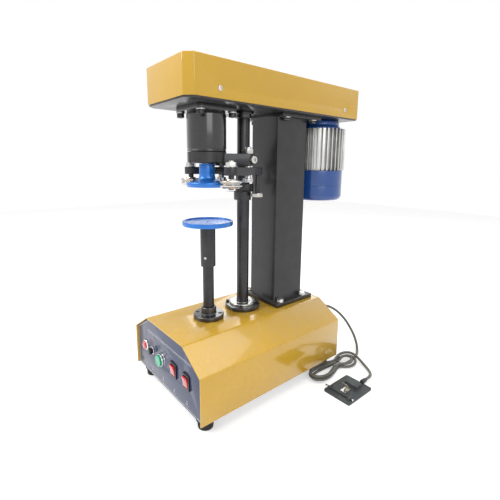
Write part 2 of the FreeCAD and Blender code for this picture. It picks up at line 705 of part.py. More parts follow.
def pivot_pins():
    """Two pins, each with a nut above the bracket and a lock nut under the arm."""
    pins = []
    for side in ("-", ""):
        x = f"{side}pivot_x"
        name = f"pivot_pin_{len(pins)}"
        pieces = [primitive("Cylinder", f"{name}_shank",
                            {"Radius": "pin_radius", "Height": "ear_top + pin_above_ear - pin_foot"},
                            x, "pivot_y", "pin_foot")]
        for end, corner, foot in (("top_nut", "pin_nut_corner", "ear_top"),
                                  ("lock_nut", "pin_lock_corner", "pin_foot")):
            nut = doc.addObject("Part::Prism", f"{name}_{end}")
            nut.Polygon = 6
            nut.setExpression("Circumradius", bound(corner))
            nut.setExpression("Height", bound("pin_nut_height"))
            for axis, place in zip("xyz", (x, "pivot_y", foot)):
                nut.setExpression(f"Placement.Base.{axis}", bound(place))
            pieces.append(nut)
        pins.append(joined(name, pieces))
    return group("pivot_pins", pins)


def clamp_screws():
    """Socket screws that lock each pivot pin through its boss."""
    screws = []
    for side, turn in (("-", LEFT), ("", RIGHT)):
        screws.append(screw(f"clamp_screw_{len(screws)}", "clamp_screw", "9", "10",
                            "boss_end - pivot_x - pin_radius - 0.5",
                            (f"{side}boss_end", "pivot_y", "(ear_top + ear_bottom) / 2"), turn))
    return screws


def arm(label, side, follower_top):
    """Rocking arm: roller axle at the nose, bored boss at the pivot, follower axle at the tail."""
    body = new_body(label)
    nose = (f"{side}roller_x", "roller_y")
    pivot = (f"{side}pivot_x", "pivot_y")
    tail = (f"{side}follower_x", "follower_y")
    thick = "arm_top - arm_bottom"
    front = sketch_on(body, "XY", "arm_bottom")
    link_outline(front, nose, "arm_nose", pivot, "arm_boss")
    pad(body, front, thick)
    back = sketch_on(body, "XY", "arm_bottom")
    link_outline(back, pivot, "arm_boss", tail, "arm_tail")
    pad(body, back, thick)
    bore = sketch_on(body, "XY", "arm_bottom - 1")
    circle(bore, *pivot, "pin_radius + running_gap")
    pocket(body, bore, f"{thick} + 2", reverse=True)
    roller_axle = sketch_on(body, "XY", "roller_bottom - 3")
    circle(roller_axle, *nose, "axle_radius")
    pad(body, roller_axle, "arm_bottom - roller_bottom + 3")
    axle_end = sketch_on(body, "XY", "arm_top")
    circle(axle_end, *nose, "axle_radius")
    pad(body, axle_end, "axle_stub")
    nut = sketch_on(body, "XY", "arm_top")
    hexagon(nut, *nose, "axle_nut_corner")
    pad(body, nut, "axle_nut_height")
    follower_axle = sketch_on(body, "XY", f"{follower_top} - follower_thick - 2")
    circle(follower_axle, *tail, "follower_axle")
    pad(body, follower_axle, f"arm_top + follower_axle_end - {follower_top} + follower_thick + 2")
    return body


def seaming_roller(label, side, groove):
    """Roller with the groove that curls the seam: deep for the first pass, shallow for the second."""
    low = "roller_bottom"
    high = "roller_top"
    return turned(label, [("axle_radius + running_gap", low), ("roller_radius - 4", low),
        ("roller_radius - 2.5", f"{low} + 3"), ("roller_radius - 0.5", f"{low} + 4"),
        ("roller_radius", f"{low} + 6"), (f"roller_radius - {groove}", f"{low} + 7.4"),
        (f"roller_radius - {groove}", f"{low} + 9.6"), ("roller_radius", f"{low} + 11"),
        ("roller_radius", f"{low} + 15"), ("roller_radius - 1.5", f"{low} + 16.5"),
        ("axle_radius + 6", f"{low} + 16.5"), ("axle_radius + 5", high),
        ("axle_radius + running_gap", high)], x=f"{side}roller_x", y="roller_y")


def follower(label, side, top):
    """Bearing ring that rolls on the arm's cam."""
    low = f"{top} - follower_thick"
    bore = "5 + running_gap"
    return turned(label, [(bore, low), ("follower_radius - 1", low), ("follower_radius", f"{low} + 1"),
                          ("follower_radius", f"{top} - 1"), ("follower_radius - 1", top), (bore, top)],
                  x=f"{side}follower_x", y="follower_y")


# ---------------------------------------------------------------- camshaft

def camshaft():
    """Long shaft from the floor plate to the head."""
    return turned("camshaft", [("0", "base_bottom + floor_thick - 1.8"),
        ("9", "base_bottom + floor_thick - 1.8"), ("9", "base_bottom + floor_thick + 6"),
        ("camshaft_radius", "base_bottom + floor_thick + 6"), ("camshaft_radius", "camshaft_top - 1"),
        ("camshaft_radius - 1", "camshaft_top"), ("0", "camshaft_top")], y="cam_y")


def arm_cams():
    """Collar with two lobes, one above the other, set for the first pass and then the second."""
    body = new_body("arm_cams", y="cam_y")
    throw = "cam_lobe - cam_base"
    lower = sketch_on(body, "XY", "cams_bottom")
    link_outline(lower, ("0", "0"), "cam_base", (f"-({throw})", "0"), "cam_base - 0.01")
    pad(body, lower, "cams_middle - cams_bottom")
    upper = sketch_on(body, "XY", "cams_middle")
    lobe = (f"({throw}) * cos(upper_lobe_turn)", f"({throw}) * sin(upper_lobe_turn)")
    link_outline(upper, ("0", "0"), "cam_base", lobe, "cam_base - 0.01")
    pad(body, upper, "cams_top - cams_middle")
    bore = sketch_on(body, "XY", "cams_bottom - 1")
    circle(bore, "0", "0", "camshaft_radius + seat_gap")
    pocket(body, bore, "cams_top - cams_bottom + 2", reverse=True)
    return body


def lift_cam():
    """Face cam in the base: its lower face presses the lift lever down once a turn."""
    body = turned("lift_cam", [("camshaft_radius + seat_gap", "lift_cam_bottom + 12"),
        ("lift_cam_radius", "lift_cam_bottom + 12"), ("lift_cam_radius", "lift_cam_bottom + 24"),
        ("camshaft_radius + 6", "lift_cam_bottom + 24"),
        ("camshaft_radius + 6", "lift_cam_bottom + 32"),
        ("camshaft_radius + seat_gap", "lift_cam_bottom + 32")], y="cam_y")
    lobe = sketch_on(body, "XZ")
    polygon(lobe, [("camshaft_radius + 2", "lift_cam_bottom"), ("lift_cam_radius", "lift_cam_bottom"),
        ("lift_cam_radius", "lift_cam_bottom + 14"), ("camshaft_radius + 2", "lift_cam_bottom + 14")])
    raised = body.newObject("PartDesign::Revolution", "lift_cam_lobe")
    raised.Profile = lobe
    raised.ReferenceAxis = (lobe, ["V_Axis"])
    raised.Angle = 120
    return body


def gear(label, y, teeth, bore, bottom):
    """Spur gear whose trapezoid teeth leave running room in the mesh."""
    pitch = f"gear_module * {teeth} / 2"
    root = f"({pitch}) - gear_module * 1.25"
    tip = f"({pitch}) + gear_module * 0.9"
    body = turned(label, [(bore, bottom), (root, bottom), (root, f"{bottom} + gear_thick"),
                          (bore, f"{bottom} + gear_thick")], y=y)
    tooth = sketch_on(body, "XY", bottom)
    wide = "gear_module * 0.92"
    slim = "gear_module * 0.36"
    polygon(tooth, [(f"({root}) - 1", f"-({wide})"), (tip, f"-({slim})"), (tip, slim),
        (f"({root}) - 1", wide)])
    first = pad(body, tooth, "gear_thick")
    around(body, [first], teeth)
    return body


def camshaft_flange():
    """Black ring round the camshaft on the housing's roof."""
    body = turned("camshaft_flange", [("camshaft_radius + running_gap", "base_top - 14"),
        ("camshaft_radius + 7", "base_top - 14"), ("camshaft_radius + 7", "base_top"),
        ("cam_flange", "base_top"), ("cam_flange", "base_top + cam_flange_thick - 1.5"),
        ("cam_flange - 1.5", "base_top + cam_flange_thick"),
        ("camshaft_radius + running_gap", "base_top + cam_flange_thick")], y="cam_y")
    hole = sketch_on(body, "XY", "base_top + cam_flange_thick + 1")
    reach = "(cam_flange + cap_radius) / 2 + 0.2"
    circle(hole, f"({reach}) * cos(45)", f"({reach}) * sin(45)", "flange_screw + bolt_gap")
    cut = pocket(body, hole, "cam_flange_thick + 2")
    around(body, [cut], "4")
    return body


def bearing_cap():
    """Bright disc that covers the camshaft's roof bearing."""
    low = "base_top + cam_flange_thick"
    return turned("bearing_cap", [("camshaft_radius + 0.4", low), ("cap_radius", low),
        ("cap_radius", f"{low} + cap_thick - 1"), ("cap_radius - 1", f"{low} + cap_thick"),
        ("camshaft_radius + 0.4", f"{low} + cap_thick")], y="cam_y")


def top_bearing():
    """Bearing block under the head at the camshaft's top."""
    low = "top_bearing_bottom"
    high = "head_bottom - plate_drop"
    return turned("top_bearing", [("camshaft_radius + running_gap", low), ("top_bearing_radius", low),
        ("top_bearing_radius", f"{high} - 5"), ("top_bearing_radius + 5", f"{high} - 5"),
        ("top_bearing_radius + 5", high), ("camshaft_radius + running_gap", high)], y="cam_y")


def flange_screws():
    """Socket screws in the camshaft's and the lifter's roof flanges."""
    screws = []
    for index in range(4):
        angle = 45 + 90 * index
        for y, reach, top in (("cam_y", "(cam_flange + cap_radius) / 2 + 0.2",
                               "base_top + cam_flange_thick"),
                              ("spindle_y", "(lift_flange + lift_hub) / 2 + 0.5",
                               "base_top + lift_flange_thick - 4.6")):
            place = (f"({reach}) * cos({angle})", f"{y} + ({reach}) * sin({angle})", top)
            screws.append(screw(f"flange_screw_{len(screws)}", "flange_screw", "4.4", "4.5", "5", place,
                                UP))
    return screws


# ---------------------------------------------------------------- lifter

def lifter_flange():
    """Guide bush on the roof, with counterbored screw holes."""
    top = "base_top + lift_flange_thick"
    body = turned("lifter_flange", [("rod_radius + running_gap", "base_top - 30"),
        ("lift_hub", "base_top - 30"), ("lift_hub", "base_top"), ("lift_flange", "base_top"),
        ("lift_flange", f"{top} - 1.5"), ("lift_flange - 1.5", top), ("lift_hub + 1", top),
        ("lift_hub", f"{top} + 1"), ("lift_hub", "lift_hub_top - 1.5"),
        ("lift_hub - 1.5", "lift_hub_top"), ("rod_radius + running_gap", "lift_hub_top")],
        y="spindle_y")
    well = sketch_on(body, "XY", f"{top} + 0.5")
    reach = "(lift_flange + lift_hub) / 2 + 0.5"
    circle(well, f"({reach}) * cos(45)", f"({reach}) * sin(45)", "5")
    cut = pocket(body, well, "5.1")
    hole = sketch_on(body, "XY", f"{top} + 0.5")
    circle(hole, f"({reach}) * cos(45)", f"({reach}) * sin(45)", "flange_screw + bolt_gap")
    through = pocket(body, hole, "lift_flange_thick + 1")
    around(body, [cut, through], "4")
    return body


def lifter_rod():
    """Rod that the lever pushes up; its top end holds the height sleeve."""
    return turned("lifter_rod", [("0", "rod_bottom"), ("6", "rod_bottom"), ("6", "rod_bottom + 13"),
                                 ("rod_radius", "rod_bottom + 15"), ("rod_radius", "rod_top - 1.5"),
                                 ("rod_radius - 1.5", "rod_top"), ("0", "rod_top")], y="spindle_y")


def height_sleeve():
    """Sleeve clamped on the rod, set higher or lower for the can in hand."""
    inner = "sleeve_top - 22"
    tube = turned("sleeve_tube", [
        ("sleeve_bore", "sleeve_bottom"), ("sleeve_radius - 0.8", "sleeve_bottom"),
        ("sleeve_radius", "sleeve_bottom + 0.8"), ("sleeve_radius", "sleeve_top - 0.8"),
        ("sleeve_radius - 0.8", "sleeve_top"), ("stem_radius + running_gap", "sleeve_top"),
        ("stem_radius + running_gap", "sleeve_top - 16"), ("0", "sleeve_top - 16"), ("0", inner),
        ("sleeve_bore", inner)], y="spindle_y")
    axis = Rotation(Vector(0, 0, 1), -value("sleeve_screw_angle")) * Rotation(*RIGHT)
    screw_end = primitive("Cylinder", "sleeve_set_screw",
                          {"Radius": "sleeve_screw", "Height": "sleeve_radius - sleeve_bore - 0.2"},
                          "(sleeve_bore + 1) * cos(sleeve_screw_angle)",
                          "spindle_y - (sleeve_bore + 1) * sin(sleeve_screw_angle)", "sleeve_screw_z",
                          turn=(axis.Axis, math.degrees(axis.Angle)))
    return joined("height_sleeve", [tube, screw_end])


def can_plate():
    """Turning plate with a raised rim that the can stands on."""
    return turned("can_plate", [("0", "sleeve_top - 15"), ("stem_radius", "sleeve_top - 15"),
        ("stem_radius", "plate_bottom"), ("plate_radius - 2", "plate_bottom"),
        ("plate_radius", "plate_bottom + 2"), ("plate_radius", "rim_top - 0.8"),
        ("plate_radius - 0.8", "rim_top"), ("plate_radius - rim_wide + 0.8", "rim_top"),
        ("plate_radius - rim_wide", "rim_top - 0.8"), ("plate_radius - rim_wide", "plate_top"),
        ("0", "plate_top")], y="spindle_y")


def lift_lever():
    """Rocking lever in the base: a ball end under the rod, a roller end under the face cam."""
    body = new_body("lift_lever")
    pivot = ("lever_y", "lever_z")
    front = ("lever_y - lever_front * cos(lever_angle)", "lever_z - lever_front * sin(lever_angle)")
    back = ("lever_y + lever_back * cos(lever_angle)", "lever_z + lever_back * sin(lever_angle)")
    for end in (front, back):
        bar = sketch_on(body, "YZ")
        link_outline(bar, pivot, "9.5", end, "5")
        pad(body, bar, "lever_half * 2", both_ways=True)
        roller = sketch_on(body, "YZ")
        circle(roller, *end, "lever_ball")
        pad(body, roller, "lever_half * 2", both_ways=True)
    bore = sketch_on(body, "YZ")
    circle(bore, *pivot, "5 + running_gap")
    pocket(body, bore, "lever_half * 2 + 2", both_ways=True)
    return body


def lever_bracket():
    """Fork welded on the floor plate, with the lever's pin."""
    body = new_body("lever_bracket")
    for side in ("-", ""):
        cheek = sketch_on(body, "YZ", f"{side}(lever_half + 4)")
        polygon(cheek, [("lever_y - 12", "base_bottom + floor_thick"),
            ("lever_y + 6", "base_bottom + floor_thick"), ("lever_y + 6", "lever_z + 4"),
            ("lever_y + 3", "lever_z + 9"), ("lever_y - 6", "lever_z + 9"),
            ("lever_y - 12", "lever_z")])
        pad(body, cheek, "6", both_ways=True)
    pin = sketch_on(body, "YZ")
    circle(pin, "lever_y", "lever_z", "5")
    pad(body, pin, "lever_half * 2 + 18", both_ways=True)
    return body


# ---------------------------------------------------------------- motors

def motor_body():
    """Ribbed aluminium stator housing."""
    body = turned("motor_body", [("motor_shaft + 4", "motor_bottom"), ("motor_core", "motor_bottom"),
                                 ("motor_core", "motor_top"), ("motor_shaft + 4", "motor_top")],
                                 y="motor_y")
    fin = sketch_on(body, "XY", "motor_bottom")
    polygon(fin, [("motor_core - 1", "-fin_thick / 2"), ("fin_radius", "-fin_thick / 2 + 0.7"),
                  ("fin_radius", "fin_thick / 2 - 0.7"), ("motor_core - 1", "fin_thick / 2")])
    first = pad(body, fin, "motor_top - motor_bottom")
    around(body, [first], "fin_count")
    return body


def motor_end_bell():
    """Cast upper end that hangs the motor from the channel."""
    top = "head_bottom - plate_drop"
    return turned("motor_end_bell", [("motor_shaft + 0.5", "motor_top"),
        ("motor_core + 6", "motor_top"), ("motor_core + 6", "motor_top + 5"),
        ("bell_radius", "motor_top + 9"), ("bell_radius", f"{top} - 3"), ("bell_radius - 3", top),
        ("motor_shaft + 0.5", top)], y="motor_y")


def fan_cover():
    """Blue cap over the fan, with a rolled lower edge and a ring of air slots."""
    body = turned("fan_cover", [("0", "cover_bottom"), ("cover_radius - 12", "cover_bottom"),
        ("cover_radius - 4", "cover_bottom + 3"), ("cover_radius", "cover_bottom + 11"),
        ("cover_radius", "cover_groove - 1"), ("cover_radius - 1.2", "cover_groove"),
        ("cover_radius", "cover_groove + 1"), ("cover_radius", "motor_bottom"),
        ("cover_radius - 2", "motor_bottom"), ("cover_radius - 2", "cover_bottom + 12"),
        ("cover_radius - 13", "cover_bottom + 2"), ("0", "cover_bottom + 2")], y="motor_y")
    slot = sketch_on(body, "XY", "cover_bottom - 1")
    link_outline(slot, ("18", "0"), "2", ("cover_radius - 20", "0"), "3")
    cut = pocket(body, slot, "4", reverse=True)
    around(body, [cut], "12")
    return body


def motor_shaft():
    """Rotor shaft from the fan up to the driving pulley."""
    top = "belt_bottom + belt_tall + pulley_lip + 3"
    return turned("motor_shaft", [("0", "cover_bottom + 8"), ("6", "cover_bottom + 8"),
        ("6", "motor_bottom - 8"), ("motor_core - 8", "motor_bottom - 8"),
        ("motor_core - 8", "motor_bottom - 5"), ("motor_shaft", "motor_bottom - 5"),
        ("motor_shaft", "belt_bottom - 10"), ("8", "belt_bottom - 10"), ("8", top), ("0", top)],
        y="motor_y")


def motor_fan():
    """Eight-bladed fan on the shaft's lower end."""
    body = turned("motor_fan", [("6", "cover_bottom + 12"), ("16", "cover_bottom + 12"),
        ("16", "cover_bottom + 36"), ("6", "cover_bottom + 36")], y="motor_y")
    blade = sketch_on(body, "XY", "cover_bottom + 14")
    rectangle(blade, "14", "cover_radius - 14", "-1.2", "1.2")
    first = pad(body, blade, "22")
    around(body, [first], "8")
    return body


def gearmotor():
    """Geared motor on the floor plate, behind the camshaft."""
    body = new_body("gearmotor")
    floor = "base_bottom + floor_thick"
    centre = "cam_y + gear_module * (gear_teeth + pinion_teeth) / 2"
    case = sketch_on(body, "XY", floor)
    rectangle(case, "-38", "38", f"{centre} - 24", f"{centre} + 96")
    pad(body, case, "18")
    soften(body, "Fillet", "8", is_upright)
    can = sketch_on(body, "XY", f"{floor} + 18")
    circle(can, "0", f"{centre} + 62", "33")
    pad(body, can, "88")
    output = sketch_on(body, "XY", f"{floor} + 18")
    circle(output, "0", centre, "8")
    pad(body, output, "2")
    return body


# ---------------------------------------------------------------- control panel

FACE = "base_depth / 2 - panel_recess"


def facing(label, x, corners):
    """A body turned about the axis that points out of the control panel."""
    body = new_body(label, x, f"-({FACE})", "control_z")
    sketch = sketch_on(body, "YZ")
    polygon(sketch, [(f"-({reach})", radius) for radius, reach in corners])
    feature = body.newObject("PartDesign::Revolution", f"{label}_revolution")
    feature.Profile = sketch
    feature.ReferenceAxis = (sketch, ["H_Axis"])
    feature.Angle = 360
    return body


def pilot_lamp():
    """Red lens in a bright ring."""
    return facing("pilot_lamp", "lamp_x", [("0", "-20"), ("lamp_radius - 2.4", "-20"),
        ("lamp_radius - 2.4", "0"), ("lamp_radius", "0"), ("lamp_radius", "2"),
        ("lamp_radius - 2", "3.5"), ("lamp_radius - 3", "3.5"), ("lamp_radius - 4", "6"),
        ("lamp_radius - 7", "7.5"), ("0", "8")])


def fuse_cap():
    """Knurled bayonet cap of the fuse holder."""
    return facing("fuse_cap", "fuse_x", [("0", "-14"), ("4.5", "-14"), ("4.5", "2.5"),
        ("fuse_radius - 1.5", "2.5"), ("fuse_radius - 1.5", "11"), ("fuse_radius - 2.5", "12"),
        ("0", "12")])


def start_button():
    """Green push button with its plunger."""
    return facing("start_button", "button_x", [
        ("0", "-30"), ("5", "-30"), ("5", "button_reach - 4"), ("button_radius - 2.2", "button_reach - 1"),
        ("button_radius - 2.2", "button_reach + cap_reach - 0.8"),
        ("button_radius - 3", "button_reach + cap_reach"), ("0", "button_reach + cap_reach")])


def panel_bezels():
    """Rings and frames that hold the button, the fuse and the rockers in the panel."""
    button = facing("button_ring", "button_x", [("5.2", "-24"), ("button_radius - 4.3", "-24"),
        ("button_radius - 4.3", "0"), ("button_radius", "0"), ("button_radius", "button_reach - 1"),
        ("button_radius - 0.8", "button_reach"), ("button_radius - 1.9", "button_reach"),
        ("button_radius - 1.9", "button_reach - 5"), ("5.2", "button_reach - button_travel - 5.2")])
    fuse = facing("fuse_holder", "fuse_x", [
        ("4.8", "-22"), ("fuse_radius - 1.8", "-22"), ("fuse_radius - 1.8", "0"), ("fuse_radius", "0"),
        ("fuse_radius", "2"), ("4.8", "2")])
    frames = []
    for x in ROCKERS:
        body = new_body(f"{x}_bezel")
        rim = sketch_on(body, "XZ", FACE)
        rectangle(rim, f"{x} - bezel_wide / 2", f"{x} + bezel_wide / 2",
                  "control_z - bezel_tall / 2", "control_z + bezel_tall / 2")
        pad(body, rim, "3")
        shell = sketch_on(body, "XZ", FACE)
        rectangle(shell, f"{x} - rocker_wide / 2 - 0.6", f"{x} + rocker_wide / 2 + 0.6",
                  "control_z - rocker_tall / 2 - 0.6", "control_z + rocker_tall / 2 + 0.6")
        pad(body, shell, "22", reverse=True)
        well = sketch_on(body, "XZ", f"{FACE} + 4")
        rectangle(well, f"{x} - rocker_wide / 2 + 1.2", f"{x} + rocker_wide / 2 - 1.2",
                  "control_z - rocker_tall / 2 + 0.7", "control_z + rocker_tall / 2 - 0.7")
        pocket(body, well, "22")
        frames.append(body)
    return group("panel_bezels", [button, fuse] + frames)


def rocker(label, x):
    """Rocker with a dished front, pressed in at its foot."""
    body = new_body(label, x, f"-({FACE})", "control_z")
    half = "rocker_tall / 2 - 2.6"
    side = sketch_on(body, "YZ")
    polygon(side, [("6", "-4.5"), (f"-1.5", f"-({half})"), ("-3.5", f"-({half}) - 0.4"), ("-4.6", "0"),
                   ("-7.5", half), ("-4", f"{half} + 0.4"), ("6", "4.5")])
    pad(body, side, "rocker_wide - 3.2", both_ways=True)
    return body


# ---------------------------------------------------------------- foot switch

def pedal_base():
    """Cast tray of the foot switch, with the two ears of the treadle's hinge."""
    body = new_body("pedal_base", x="pedal_x")
    tray = sketch_on(body, "XY")
    rectangle(tray, "-pedal_wide / 2", "pedal_wide / 2", "pedal_front", "pedal_back + 8")
    pad(body, tray, "5")
    soften(body, "Fillet", "4", is_upright)
    for side in ("-", ""):
        ear = sketch_on(body, "YZ", f"{side}(pedal_wide / 2 - 8)")
        rectangle(ear, "pedal_front + 8", "pedal_front + 22", "4", "11")
        pad(body, ear, "4", both_ways=True)
    contact = sketch_on(body, "XY", "5")
    rectangle(contact, "-14", "18", "pedal_back - 30", "pedal_back - 8")
    pad(body, contact, "9")
    lead = sketch_on(body, "XZ", "-(pedal_back + 4)")
    circle(lead, "pedal_gland_x - pedal_x", "pedal_gland_z", "cord_radius + 2")
    pad(body, lead, "8", reverse=True)
    pin = sketch_on(body, "YZ")
    circle(pin, "pedal_front + 15", "8", "2")
    pad(body, pin, "pedal_wide - 6", both_ways=True)
    return body


def treadle():
    """Wedge-shaped tread plate that closes over the tray."""
    body = new_body("treadle", x="pedal_x")
    side = sketch_on(body, "YZ")
    polygon(side, [("pedal_front", "5.6"), ("pedal_front - 0.5", "7"), ("pedal_front", "pedal_low"),
        ("pedal_back", "pedal_high"), ("pedal_back", "pedal_high - 18"), ("pedal_front + 16", "5.6")])
    pad(body, side, "pedal_wide", both_ways=True)
    hollow = sketch_on(body, "YZ")
    polygon(hollow, [("pedal_front + 4", "0"), ("pedal_front + 4", "pedal_low - 2.2"),
                     ("pedal_back - 4", "pedal_high - 4"), ("pedal_back - 4", "0")])
    pocket(body, hollow, "pedal_wide - 7", both_ways=True)
    axle = sketch_on(body, "YZ")
    circle(axle, "pedal_front + 15", "8", "2 + running_gap")
    pocket(body, axle, "pedal_wide + 2", both_ways=True)
    return body


def treadle_spring():
    """Bent leaf that lifts the treadle."""
    body = new_body("treadle_spring", x="pedal_x")
    strip = sketch_on(body, "YZ")
    polygon(strip, [("pedal_front + 26", "5"), ("pedal_front + 50", "5"),
        ("pedal_front + 34", "pedal_low + 2.9"), ("pedal_front + 32.6", "pedal_low + 2.5"),
        ("pedal_front + 47", "6"), ("pedal_front + 26", "6")])
    pad(body, strip, "14", both_ways=True)
    return body


def cord_glands():
    """Strain reliefs of the foot switch's lead."""
    rear = new_body("rear_gland", "rear_gland_x", FACE, "rear_gland_z")
    sketch = sketch_on(rear, "YZ")
    polygon(sketch, [("-10", "0"), ("-10", "cord_radius + 2.7"), ("0", "cord_radius + 2.7"),
        ("0", "cord_radius + 6"), ("5", "cord_radius + 6"), ("16", "cord_radius + 1.4"), ("16", "0")])
    turn = rear.newObject("PartDesign::Revolution", "rear_gland_turn")
    turn.Profile = sketch
    turn.ReferenceAxis = (sketch, ["H_Axis"])
    turn.Angle = 360
    pedal = new_body("pedal_gland", "pedal_gland_x", "pedal_back + 12", "pedal_gland_z")
    nose = sketch_on(pedal, "YZ")
    polygon(nose, [("0", "0"), ("0", "cord_radius + 2"), ("10", "cord_radius + 0.8"), ("10", "0")])
    turn = pedal.newObject("PartDesign::Revolution", "pedal_gland_turn")
    turn.Profile = nose
    turn.ReferenceAxis = (nose, ["H_Axis"])
    turn.Angle = 360
    return group("cord_glands", [rear, pedal])


# Route of the foot switch's lead, from the rear gland down to the hank and on to the pedal.
HANK_ENTRY = (168, 262, 4)
HANK_EXIT = (168, 264, 15)


def drop_route():
    """Centreline from the rear gland to the hank."""
    start = (value("rear_gland_x"), value(f"{FACE} + 16"), value("rear_gland_z"))
    return [start, (start[0], 248, start[2]), (80, 272, 126), (93, 295, 108), (106, 314, 82),
        (114, 327, 58), (121.7, 336.4, 36), (134, 334, 15.4), (148, 319, 3.6), (160, 298, 3.6),
        (167, 278, 4), HANK_ENTRY]


def lead_route():
    """Centreline from the hank to the pedal's gland."""
    end = (value("pedal_gland_x"), value("pedal_back + 22"), value("pedal_gland_z"))
    return [HANK_EXIT, (184, 270, 10), (203, 264, 4.5), (224, 252, 4.2), (240, 237, 5.5),
        (end[0], 219, end[2]), end]


def cord_tube(label, route):
    """Cord along straight runs joined by tangent arcs as large as the runs allow."""
    radius = value("cord_radius")
    points = [Vector(*spot) for spot in route]
    runs = [(after - before).Length for before, after in zip(points, points[1:])]
    edges = []
    start = points[0]
    for index in range(1, len(points) - 1):
        corner = points[index]
        back = (points[index - 1] - corner).normalize()
        ahead = (points[index + 1] - corner).normalize()
        turn = math.pi - back.getAngle(ahead)
        reach = 0.45 * min(runs[index - 1], runs[index])
        bend = reach / math.tan(turn / 2)
        enter = corner + back * reach
        leave = corner + ahead * reach
        inward = (back + ahead).normalize()
        middle = corner + inward * (bend / math.cos(turn / 2) - bend)
        edges.append(Part.LineSegment(start, enter).toShape())
        edges.append(Part.Arc(enter, middle, leave).toShape())
        start = leave
        print(f"{label} bend {index}: radius {bend:.1f}, run {runs[index]:.0f}")
    edges.append(Part.LineSegment(start, points[-1]).toShape())
    spine = Part.Wire(edges)
    heading = points[1] - points[0]
    section = Part.Wire([Part.Circle(points[0], heading, radius).toShape()])
    tube = spine.makePipeShell([section], True, False)
    wanted = math.pi * radius ** 2 * spine.Length
    print(f"{label} length {spine.Length:.1f}, volume {tube.Volume:.0f}, wanted {wanted:.0f}")
    feature = doc.addObject("Part::Feature", label)
    feature.Label = label
    feature.Shape = tube
    return feature


def cord_hank():
    """Outer shape of the tied bundle: two loops and a waist lying on the bench."""
    body = new_body("cord_hank")
    for one, one_radius, other, other_radius in (
            (("hank_front_x", "hank_front_y"), "hank_front", ("hank_waist_x", "hank_waist_y"),
             "hank_waist"),
            (("hank_waist_x", "hank_waist_y"), "hank_waist", ("hank_back_x", "hank_back_y"), "hank_back")):
        loop = sketch_on(body, "XY")
        link_outline(loop, one, one_radius, other, other_radius)
        pad(body, loop, "hank_height")
    return body


# ---------------------------------------------------------------- build and write

parts = [base_cover(), base_plate(), support_frame(), rubber_feet(), front_panel(), rear_panel(),
    mains_inlet(), column(), head_plate(), top_cover(), lid_screws(), frame_bolts(), spindle_housing(),
    spindle(), seaming_chuck(),
    pulley("spindle_pulley", "spindle_y", "spindle_pulley", "(12 + seat_gap)", "belt_bottom - 12"),
    pulley("motor_pulley", "motor_y", "motor_pulley", "(8 + seat_gap)", "belt_bottom - 10"),
    drive_belt(), arm_bracket(), pivot_pins(),
    group("socket_screws", housing_bolts() + clamp_screws() + flange_screws()),
    arm("first_arm", "", "low_follower_top"), arm("second_arm", "-", "high_follower_top"),
    seaming_roller("first_roller", "", "4.5"), seaming_roller("second_roller", "-", "2.5"),
    follower("first_follower", "", "low_follower_top"),
    follower("second_follower", "-", "high_follower_top"), camshaft(), arm_cams(), lift_cam(),
    gear("camshaft_gear", "cam_y", "gear_teeth", "camshaft_radius + seat_gap", "gear_bottom"),
    gear("drive_pinion", "cam_y + gear_module * (gear_teeth + pinion_teeth) / 2", "pinion_teeth", "5",
         "gear_bottom"),
    camshaft_flange(), bearing_cap(), top_bearing(), lifter_flange(), lifter_rod(), height_sleeve(),
    can_plate(), lift_lever(), lever_bracket(), motor_body(), motor_end_bell(), fan_cover(),
    motor_shaft(), motor_fan(), gearmotor(), pilot_lamp(), fuse_cap(), start_button(), panel_bezels(),
    rocker("power_rocker", "power_x"), rocker("mode_rocker", "mode_x"), pedal_base(), treadle(),
    treadle_spring(), cord_glands(), cord_tube("cord_drop", drop_route()),
    cord_tube("cord_lead", lead_route()), cord_hank(), ]

doc.recompute()
for item in doc.Objects:
    if {"Invalid", "Error"} & set(item.State):
        raise RuntimeError(f"{item.Label} failed: {item.State}")
for part in parts:
    if part.Shape.isNull() or not part.Shape.isValid() or not part.Shape.Solids:
        raise RuntimeError(f"{part.Label} has no valid solid")
for part in parts:
    part.Shape.exportStep(f"parts/{part.Label}.step")
    box = part.Shape.BoundBox
    print(
        f"{part.Label}: {len(part.Shape.Solids)} solids, volume {part.Shape.Volume:.0f}, "
        f"x {box.XMin:.1f}..{box.XMax:.1f} y {box.YMin:.1f}..{box.YMax:.1f} "
        f"z {box.ZMin:.1f}..{box.ZMax:.1f}")
print(len(parts), "nodes")
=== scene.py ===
"""Finished looks for a bench can seamer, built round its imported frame."""
import json
import math

import bmesh
import bpy
from bpy.props import FloatProperty, FloatVectorProperty, IntProperty, PointerProperty
from mathutils import Matrix, Vector


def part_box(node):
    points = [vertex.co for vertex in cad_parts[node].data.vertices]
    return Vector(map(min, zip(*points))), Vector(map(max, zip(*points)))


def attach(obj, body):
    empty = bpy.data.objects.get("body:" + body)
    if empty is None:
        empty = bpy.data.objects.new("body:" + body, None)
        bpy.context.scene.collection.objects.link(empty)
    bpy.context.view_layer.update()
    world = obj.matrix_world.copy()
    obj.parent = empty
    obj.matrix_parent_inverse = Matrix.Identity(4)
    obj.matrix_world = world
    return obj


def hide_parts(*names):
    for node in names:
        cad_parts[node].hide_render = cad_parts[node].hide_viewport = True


bl_info = {
    "name": "Can Seamer Looks",
    "version": (1, 0, 0),
    "blender": (4, 5, 0),
    "location": "View3D > Sidebar > Can Seamer",
    "description": "Builds the painted, turned and moulded pieces of a bench can seamer",
    "category": "Object",
}

